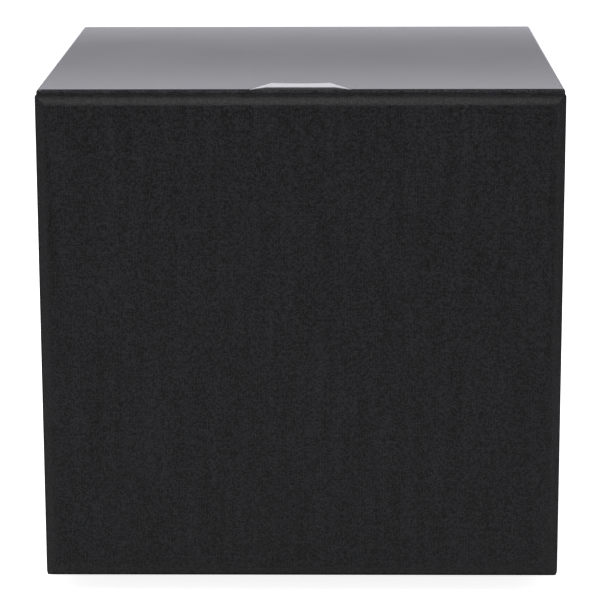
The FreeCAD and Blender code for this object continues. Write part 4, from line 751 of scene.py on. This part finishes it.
class SUBWOOFER_OT_surround(bpy.types.Operator):
    """Model the half-roll surround, which flexes between the cone and the basket"""

    bl_idname = "subwoofer.surround"
    bl_label = "Surround"

    def execute(self, context):
        sizes = context.scene.subwoofer_driver
        wall = 0.0016
        seat = 0.0039  # underside of the flange, just proud of the basket's ledge
        face = LEDGE_DEPTH - wall
        rise = 0.92 * sizes.roll  # flatter than a half circle, so that it clears the grille at full travel
        glued = sizes.cone_edge - 0.005
        middle = (sizes.cone_edge + 0.002 + sizes.ledge) / 2
        steps = 16
        turns = [math.pi * k / steps for k in range(steps + 1)]
        lip = [
            (glued, cone_depth(glued) - 0.0002),
            (glued + 0.0004, cone_depth(glued) - 0.0012),
            (middle - sizes.roll - 0.0006, face + 0.0008),
        ]
        roll = [(middle - sizes.roll * math.cos(turn), face - rise * math.sin(turn)) for turn in turns]
        flange = [(0.1145, face - 0.0003), (0.1163, face), (0.1164, seat)]
        inner, inner_rise = sizes.roll - wall, rise - 0.0001
        hollow = [(middle - inner * math.cos(turn), seat - inner_rise * math.sin(turn)) for turn in turns]
        piece = turned(lip + roll + flange + hollow[::-1], DRIVER_CENTRE, sizes.turns)
        settle(piece, "rubber_surround", 50)
        blend_by_radius(piece, sizes.cone_edge, sizes.ledge)
        rubber = plain_finish("butyl_rubber", (0.014, 0.014, 0.014), 0.42, grain=0.0005, depth=0.00002)
        finish_piece(piece, "cabinet", "surround_rubber", rubber, "surround")
        return {"FINISHED"}


class SUBWOOFER_OT_spider(bpy.types.Operator):
    """Model the corrugated spider, which flexes between the coil and the basket"""

    bl_idname = "subwoofer.spider"
    bl_label = "Spider"

    def execute(self, context):
        sizes = context.scene.subwoofer_driver
        first, last, outer = 0.029, 0.068, 0.0785  # where the waves start and end, and the glued rim
        depth, swing, wall = 0.0495, 0.0018, 0.0006
        waves = 6
        steps = waves * 8
        front = [(BORE_RADIUS, depth)]
        for k in range(steps + 1):
            share = k / steps
            wave = math.sin(2 * math.pi * waves * share)
            front.append((first + share * (last - first), depth - swing * wave))
        front.append((outer, depth))
        back = [(radius, place + wall) for radius, place in reversed(front)]
        piece = turned(front + back, DRIVER_CENTRE, sizes.turns)
        settle(piece, "corrugated_spider", 60)
        blend_by_radius(piece, first, last)
        cotton = fibre_finish("doped_cotton", (0.55, 0.38, 0.15), 0.0008, 0.0002, sheen=0.1)
        finish_piece(piece, "cabinet", "spider_cloth", cotton, "spider")
        return {"FINISHED"}


class SUBWOOFER_OT_cone(bpy.types.Operator):
    """Model the coated paper cone and its dust cap"""

    bl_idname = "subwoofer.cone"
    bl_label = "Cone and dust cap"

    def execute(self, context):
        sizes = context.scene.subwoofer_driver
        edge, edge_back = sizes.cone_edge, 0.008
        belly, wall, neck_wall = 0.0009, 0.0022, 0.0040
        steps = 10
        shares = [k / steps for k in range(steps + 1)]
        front = [(BORE_RADIUS, NECK_DEPTH)]
        for share in shares:
            radius = NECK_RADIUS + (edge - NECK_RADIUS) * share
            front.append((radius, cone_depth(radius) + belly * math.sin(math.pi * share)))
        back = [(edge, edge_back)]
        for share in shares[1:]:
            radius = edge - (edge - NECK_RADIUS) * share
            back.append((radius, cone_depth(radius) + wall))
        back.append((BORE_RADIUS, NECK_DEPTH + neck_wall))
        piece = turned(front + back, DRIVER_CENTRE, sizes.turns)
        settle(piece, "paper_cone", 40)
        pulp = fibre_finish("coated_pulp", (0.022, 0.022, 0.023), 0.0012, 0.00012, roughness=0.6)
        finish_piece(piece, "moving_cone", "cone_paper", pulp, "cone")

        rim, rise, lip, wall = 0.038, 0.013, 0.0013, 0.00104
        ball = (rim * rim + rise * rise) / (2 * rise)  # radius of the ball that the cap is cut from
        ball_depth = cone_depth(rim) - rise + ball
        steps = 12
        dome = [(rim - lip, cone_depth(rim - lip)), (rim, cone_depth(rim) - 0.0001)]
        for k in range(1, steps + 1):
            radius = rim * (1 - k / steps)
            dome.append((radius, ball_depth - math.sqrt(ball * ball - radius * radius)))
        cap = turned(dome, DRIVER_CENTRE, sizes.turns, closed=False)
        apply_modifier(cap, "Wall", "SOLIDIFY", thickness=wall, offset=0.0)
        settle(cap, "pressed_dust_cap", 40)
        skin = plain_finish("cap_skin", (0.02, 0.02, 0.021), 0.35, grain=0.0006, depth=0.00003)
        finish_piece(cap, "moving_cone", "cone_paper", skin, "dust_cap")
        return {"FINISHED"}


class SUBWOOFER_OT_driver_frame(bpy.types.Operator):
    """Finish the basket, the motor and the gasket, and model the screws with hexagon sockets"""

    bl_idname = "subwoofer.driver_frame"
    bl_label = "Driver frame"

    def execute(self, context):
        basket = plain_finish("basket_powder_coat", (0.03, 0.03, 0.031), 0.5, grain=0.0007, depth=0.00008)
        foam = plain_finish("gasket_foam", (0.03, 0.03, 0.03), 0.95, grain=0.0008, depth=0.0002)
        zinc = metal_finish("zinc_plate", (0.62, 0.60, 0.55), 0.35)
        ferrite = plain_finish("ferrite", (0.06, 0.06, 0.062), 0.7, grain=0.0012, depth=0.00005)
        foil = metal_finish("rolled_foil", (0.75, 0.75, 0.77), 0.3, (2000, 40, 2000))
        copper = metal_finish("copper_wire", (0.72, 0.32, 0.16), 0.35, (60, 5000, 60))
        dress(basket, "driver_basket")
        dress(foam, "driver_gasket", "amp_gasket")
        dress(zinc, "top_plate", "pole_yoke", "toroid_clamp", "board_standoffs")
        dress(ferrite, "magnet_ring")
        dress(plain_finish("phenolic", (0.22, 0.12, 0.06), 0.6), "terminal_strip")
        dress(foil, "voice_coil_former")
        dress(copper, "voice_coil_winding")

        screw = turned_screw([
            (0.0006, -0.0028), (0.0022, -0.0028), (0.0036, -0.0023), (0.0044, -0.0012), (0.0046, 0.0),
            (0.0025, 0.0), (0.0025, 0.0219), (0.0006, 0.0220),
        ])
        across_flats = 0.0030
        combine(screw, stub((0, -0.003, 0), across_flats / math.sqrt(3), 0.004, vertices=6), "DIFFERENCE")
        circle, count = 0.125, 8
        spots = []
        for k in range(count):
            turn = math.radians(360 / count * (k + 0.5))
            place = Vector(DRIVER_CENTRE) + Vector((circle * math.cos(turn), 0.0, circle * math.sin(turn)))
            spots.append((place, turn))
        piece = set_out(screw, spots, "socket_screws")
        steel = metal_finish("black_screw_steel", (0.09, 0.09, 0.095), 0.35)
        finish_piece(piece, "cabinet", "screw_black", steel, "driver_screws")
        return {"FINISHED"}


# ---- Plate amplifier ----------------------------------------------------------------------


class SUBWOOFER_OT_amplifier(bpy.types.Operator):
    """Finish the amplifier's plate, sink, connectors and inner parts"""

    bl_idname = "subwoofer.amplifier"
    bl_label = "Plate amplifier"

    def execute(self, context):
        plastic = tuple(context.scene.subwoofer_finish.plastic)
        plate = plain_finish("plate_powder_coat", (0.028, 0.028, 0.030), 0.55, grain=0.0006, depth=0.00010)
        knobs = plain_finish("knob_plastic", plastic, 0.42, grain=0.0005, depth=0.00003)
        nickel = metal_finish("nickel_plate", (0.72, 0.71, 0.68), 0.16, (400, 400, 400))
        switches = plain_finish("switch_nylon", plastic, 0.4, grain=0.0004)
        inlet = plain_finish("inlet_nylon", plastic, 0.5, grain=0.0005, depth=0.00005)
        rocker = plain_finish("rocker_nylon", (0.016, 0.016, 0.016), 0.22, grain=0.0004, depth=0.00001)
        tape = plain_finish("amber_tape", (0.45, 0.28, 0.05), 0.3, grain=0.004, depth=0.0003)
        board = plain_finish("solder_resist", (0.02, 0.13, 0.05), 0.3, grain=0.003, depth=0.00004)
        dress(plate, "amp_plate")
        dress(metal_finish("black_anodised", (0.05, 0.05, 0.053), 0.42, (2500, 2500, 25)), "heat_sink")
        dress(knobs, "volume_knob", "crossover_knob")
        dress(metal_finish("shaft_steel", (0.62, 0.62, 0.63), 0.28), "volume_shaft", "crossover_shaft")
        dress(metal_finish("pot_case", (0.45, 0.45, 0.46), 0.4), "potentiometers")
        dress(nickel, "control_nuts", "rca_shells", "inlet_pins")
        dress(switches, "switch_bodies", "phase_slider", "mode_slider")
        dress(glass_finish("lamp_lens", (0.55, 0.02, 0.015)), "power_led")
        dress(plain_finish("jack_insulator", plastic, 0.35), "rca_cores")
        dress(metal_finish("gold_flash", (0.85, 0.62, 0.25), 0.2), "rca_contacts")
        dress(plain_finish("white_ring", (0.80, 0.80, 0.77), 0.3, spread=0.05), "rca_ring_white")
        dress(plain_finish("red_ring", (0.55, 0.02, 0.02), 0.3, spread=0.1), "rca_ring_red")
        dress(inlet, "mains_inlet", "fuse_drawer")
        dress(glass_finish("fuse_glass", (0.9, 0.92, 0.92)), "fuse")
        dress(rocker, "rocker_housing", "power_rocker")
        dress(tape, "toroid")
        dress(plain_finish("neoprene", (0.02, 0.02, 0.02), 0.85), "toroid_pads")
        dress(board, "amp_board")
        dress(plain_finish("sleeved_can", (0.03, 0.03, 0.035), 0.35), "board_components")
        return {"FINISHED"}


class SUBWOOFER_OT_plate_screws(bpy.types.Operator):
    """Model the plate's pan-headed screws with cross recesses"""

    bl_idname = "subwoofer.plate_screws"
    bl_label = "Plate screws"

    def execute(self, context):
        screw = turned_screw([
            (0.0005, 0.0025), (0.0020, 0.00235), (0.0031, 0.0018), (0.0038, 0.0008), (0.0039, 0.0),
            (0.0020, 0.0), (0.0020, -0.0119), (0.0005, -0.0120),
        ])
        half_length, half_width = 0.0018, 0.0004
        for x, z in ((half_length, half_width), (half_width, half_length)):
            combine(screw, block((-x, 0.0012, -z), (x, 0.004, z)), "DIFFERENCE")
        inset = 0.0075
        half_x, half_z = PLATE_HALF_WIDTH - inset, PLATE_HALF_HEIGHT - inset
        places = [(side * half_x, share * half_z) for side in (-1, 1) for share in (-1, -1 / 3, 1 / 3, 1)]
        places += [(0.0, -half_z), (0.0, half_z)]
        spots = []
        for k, (x, z) in enumerate(places):
            turn = math.radians(23 * k)  # no two screws stop at the same turn
            spots.append(((x, PLATE_BACK, MIDDLE_Z + z), turn))
        piece = set_out(screw, spots, "pan_screws")
        steel = metal_finish("plate_screw_steel", (0.09, 0.09, 0.095), 0.35)
        finish_piece(piece, "cabinet", "screw_black", steel, "amp_screws")
        return {"FINISHED"}


def printed(words, x, z):
    """Plain figures or ON and OFF, printed on the plate's back and read from behind."""
    clear_selection()
    bpy.ops.object.text_add(location=(x, INK_PLANE, z), rotation=(math.pi / 2, 0, math.pi))
    text = bpy.context.active_object.data
    text.body = words
    text.size = FIGURE_HEIGHT
    text.extrude = INK_HALF
    text.resolution_u = 4
    text.align_x = "CENTER"
    text.align_y = "CENTER"
    bpy.ops.object.convert(target="MESH")
    return bpy.context.active_object


def scale_dots():
    """Eleven dots round each knob, larger at the ends and in the middle."""
    ring, large, small = 0.0150, 0.0009, 0.0006
    dots = []
    for node in ("volume_knob", "crossover_knob"):
        centre = middle_of(node)
        for k in range(11):
            turn = math.radians(-150 + 30 * k)
            place = (centre.x + ring * math.sin(turn), INK_PLANE, centre.z + ring * math.cos(turn))
            dots.append(stub(place, large if k in (0, 5, 10) else small, 2 * INK_HALF, vertices=20))
    return settle(join(dots), "scale_dots")


def printed_figures():
    """The ends of each knob's scale, the ends of each slide switch and the rocker's two sides."""
    figures = []
    for node, least, most in (("volume_knob", "0", "10"), ("crossover_knob", "40", "160")):
        centre = middle_of(node)
        figures.append(printed(least, centre.x + 0.0105, centre.z - 0.0165))
        figures.append(printed(most, centre.x - 0.0105, centre.z - 0.0165))
    for node, left, right in (("phase_slider", "0", "180"), ("mode_slider", "OFF", "ON")):
        centre = middle_of(node)
        figures.append(printed(left, centre.x + 0.0100, centre.z))
        figures.append(printed(right, centre.x - 0.0140, centre.z))
    centre = middle_of("power_rocker")
    figures.append(printed("ON", centre.x, centre.z + 0.0170))
    figures.append(printed("OFF", centre.x, centre.z - 0.0170))
    return settle(join(figures), "printed_figures")


def group_lines():
    """Two lines across the plate, above and below the sockets."""
    half_length, width = PLATE_HALF_WIDTH - 0.018, 0.0004
    lines = []
    for z in (0.1935, 0.1500):
        low = (-half_length, INK_PLANE - INK_HALF, z)
        lines.append(block(low, (half_length, INK_PLANE + INK_HALF, z + width)))
    return settle(join(lines), "group_lines")


def pointer(node):
    """The filled groove on a knob's end that shows where it is turned."""
    centre, tip = middle_of(node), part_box(node)[1].y
    half_width, reach, bottom, top = 0.00052, 0.0094, 0.0006, 0.00005
    groove = block(
        (centre.x - half_width, tip - bottom, centre.z + 0.34 * reach),
        (centre.x + half_width, tip - top, centre.z + 0.96 * reach),
    )
    soften(groove, 0.0001)
    return settle(groove, node + "_pointer")


class SUBWOOFER_OT_markings(bpy.types.Operator):
    """Print scale dots, plain figures and group lines on the plate, and fill the knobs' pointers"""

    bl_idname = "subwoofer.markings"
    bl_label = "Plate markings"

    def execute(self, context):
        ink = plain_finish("pale_ink", (0.55, 0.55, 0.54), 0.6, grain=0.0003, depth=0.00001, spread=0.08)
        for piece in (scale_dots(), printed_figures(), group_lines()):
            finish_piece(piece, "cabinet", "ring_white", ink)
        for node, body in (("volume_knob", "volume_control"), ("crossover_knob", "crossover_control")):
            finish_piece(pointer(node), body, "ring_white", ink)
        return {"FINISHED"}


# ---- Stage --------------------------------------------------------------------------------

CAMERA_PLACE = (0.0265, -1.9872, 0.6348)
CAMERA_TURNS = (13.06, -0.86, -0.185)  # down, aside and over, in degrees


def soft_light(name, place, target, size, power, colour=(1, 1, 1)):
    lamp = bpy.data.lights.new(name, "AREA")
    lamp.shape = "RECTANGLE"
    lamp.size, lamp.size_y = size
    lamp.energy = power
    lamp.color = colour
    holder = bpy.data.objects.new(name, lamp)
    bpy.context.scene.collection.objects.link(holder)
    holder.visible_camera = False
    holder.location = place
    holder.rotation_euler = (Vector(target) - Vector(place)).to_track_quat("-Z", "Y").to_euler()


def floor_finish():
    """White floor that keeps the shadow, glows white to the camera and shows dimly in mirrors."""
    material, tree, shader = new_material("white_floor", (0.85, 0.85, 0.85), 0.9)
    uneven = effect(tree, "unevenness", Size=0.01, Clouds=0.8)
    vary_roughness(shader, uneven["Cloud"], 0.88, 0.92)
    path = put(tree, "ShaderNodeLightPath").outputs
    seen = maths(tree, "MAXIMUM", path["Is Camera Ray"], path["Is Transmission Ray"])
    mirrored = maths(tree, "MULTIPLY", path["Is Glossy Ray"], 0.2)
    glow = maths(tree, "MULTIPLY", maths(tree, "MAXIMUM", seen, mirrored), 0.88)
    fill(shader, {"Specular IOR Level": 0.0, "Emission Color": (1, 1, 1, 1), "Emission Strength": glow})
    return material


def studio_surround(stage):
    """Pale all round to the camera; to mirrors, bright behind the object and dim in front of it."""
    world = bpy.data.worlds.new("studio")
    world.use_nodes = True
    tree = world.node_tree
    tree.nodes.clear()
    path = put(tree, "ShaderNodeLightPath").outputs
    place = put(tree, "ShaderNodeTexCoord").outputs["Generated"]
    along = put(tree, "ShaderNodeSeparateXYZ", {0: place}).outputs["Y"]
    mirrored = ramp(tree, along, (0.6, 0.95), (stage.front_level, stage.back_level))
    sockets = {0: path["Is Glossy Ray"], 2: stage.surround_level, 3: mirrored}
    level = put(tree, "ShaderNodeMix", sockets, data_type="FLOAT").outputs[0]
    cool = put(tree, "ShaderNodeBackground", {"Color": (0.93, 0.925, 1.0, 1.0), "Strength": level})
    pale = put(tree, "ShaderNodeBackground")
    seen = maths(tree, "MAXIMUM", path["Is Camera Ray"], path["Is Transmission Ray"])
    either = put(tree, "ShaderNodeMixShader", {0: seen, 1: cool.outputs[0], 2: pale.outputs[0]})
    put(tree, "ShaderNodeOutputWorld", {"Surface": either.outputs[0]})
    return world


def set_camera(scene, focal_length):
    lens = bpy.data.cameras.new("camera")
    lens.sensor_width = 36.0
    lens.lens = focal_length
    lens.clip_end = 60.0
    camera = bpy.data.objects.new("camera", lens)
    scene.collection.objects.link(camera)
    down, aside, over = (math.radians(turn) for turn in CAMERA_TURNS)
    forward = Vector((math.sin(aside) * math.cos(down), math.cos(aside) * math.cos(down), -math.sin(down)))
    right = Vector((math.cos(aside), -math.sin(aside), 0))
    up = right.cross(forward)
    level_right = math.cos(over) * right + math.sin(over) * up
    level_up = -math.sin(over) * right + math.cos(over) * up
    turn = Matrix((level_right, level_up, -forward)).transposed()
    camera.matrix_world = Matrix.Translation(CAMERA_PLACE) @ turn.to_4x4()
    scene.camera = camera


class SUBWOOFER_OT_stage(bpy.types.Operator):
    """Set the floor, the soft lights, the pale surround and the camera"""

    bl_idname = "subwoofer.stage"
    bl_label = "Stage"

    def execute(self, context):
        stage = context.scene.subwoofer_stage
        clear_selection()
        bpy.ops.mesh.primitive_plane_add(size=30, location=(0, 0, -0.0002))  # just clear of the feet
        floor = settle(bpy.context.active_object, "studio_floor")
        floor.data.materials.append(floor_finish())

        context.scene.world = studio_surround(stage)
        middle, top = (0.0, 0.0, MIDDLE_Z), (0.0, 0.0, CABINET_TOP)
        soft_light("key", (-0.12, -1.45, 2.6), middle, (0.9, 0.9), stage.key_power)
        soft_light("left_fill", (-2.4, -0.6, 1.2), middle, (2.4, 2.4), stage.fill_power)
        soft_light("right_fill", (2.4, -0.9, 1.2), middle, (2.4, 2.4), stage.fill_power)
        for name, above, width in (("low_strip", 0.030, 0.05), ("high_strip", 0.135, 0.06)):
            place = (0.0, 0.6, CABINET_TOP + above)
            soft_light(name, place, top, (1.4, width), stage.strip_power, (0.93, 0.92, 1.0))
        set_camera(context.scene, stage.lens)
        context.scene.view_settings.view_transform = "Standard"
        return {"FINISHED"}


# ---- Add-on -------------------------------------------------------------------------------

SETTINGS = {
    "subwoofer_finish": FinishSettings,
    "subwoofer_driver": DriverSettings,
    "subwoofer_stage": StageSettings,
}

OPERATORS = (
    SUBWOOFER_OT_stage,
    SUBWOOFER_OT_cabinet,
    SUBWOOFER_OT_wadding,
    SUBWOOFER_OT_badge,
    SUBWOOFER_OT_cloth,
    SUBWOOFER_OT_grille_frame,
    SUBWOOFER_OT_surround,
    SUBWOOFER_OT_spider,
    SUBWOOFER_OT_cone,
    SUBWOOFER_OT_driver_frame,
    SUBWOOFER_OT_amplifier,
    SUBWOOFER_OT_plate_screws,
    SUBWOOFER_OT_markings,
)


class SUBWOOFER_PT_panel(bpy.types.Panel):
    """Lists the pieces and their settings"""

    bl_idname = "SUBWOOFER_PT_panel"
    bl_label = "Powered subwoofer"
    bl_space_type = "VIEW_3D"
    bl_region_type = "UI"
    bl_category = "Subwoofer"

    def draw(self, context):
        for group in SETTINGS:
            settings = getattr(context.scene, group)
            column = self.layout.column(align=True)
            for name in settings.bl_rna.properties.keys():
                if name not in ("rna_type", "name"):
                    column.prop(settings, name)
        column = self.layout.column(align=True)
        for operator in OPERATORS:
            column.operator(operator.bl_idname)


CLASSES = (*SETTINGS.values(), *OPERATORS, SUBWOOFER_PT_panel)


def register():
    for entry in CLASSES:
        bpy.utils.register_class(entry)
    for name, group in SETTINGS.items():
        setattr(bpy.types.Scene, name, PointerProperty(type=group))


def unregister():
    for name in SETTINGS:
        delattr(bpy.types.Scene, name)
    for entry in reversed(CLASSES):
        bpy.utils.unregister_class(entry)


def main():
    register()
    for operator in OPERATORS:
        family, name = operator.bl_idname.split(".")
        getattr(getattr(bpy.ops, family), name)()
    clear_selection()


if __name__ == "__main__":
    main()
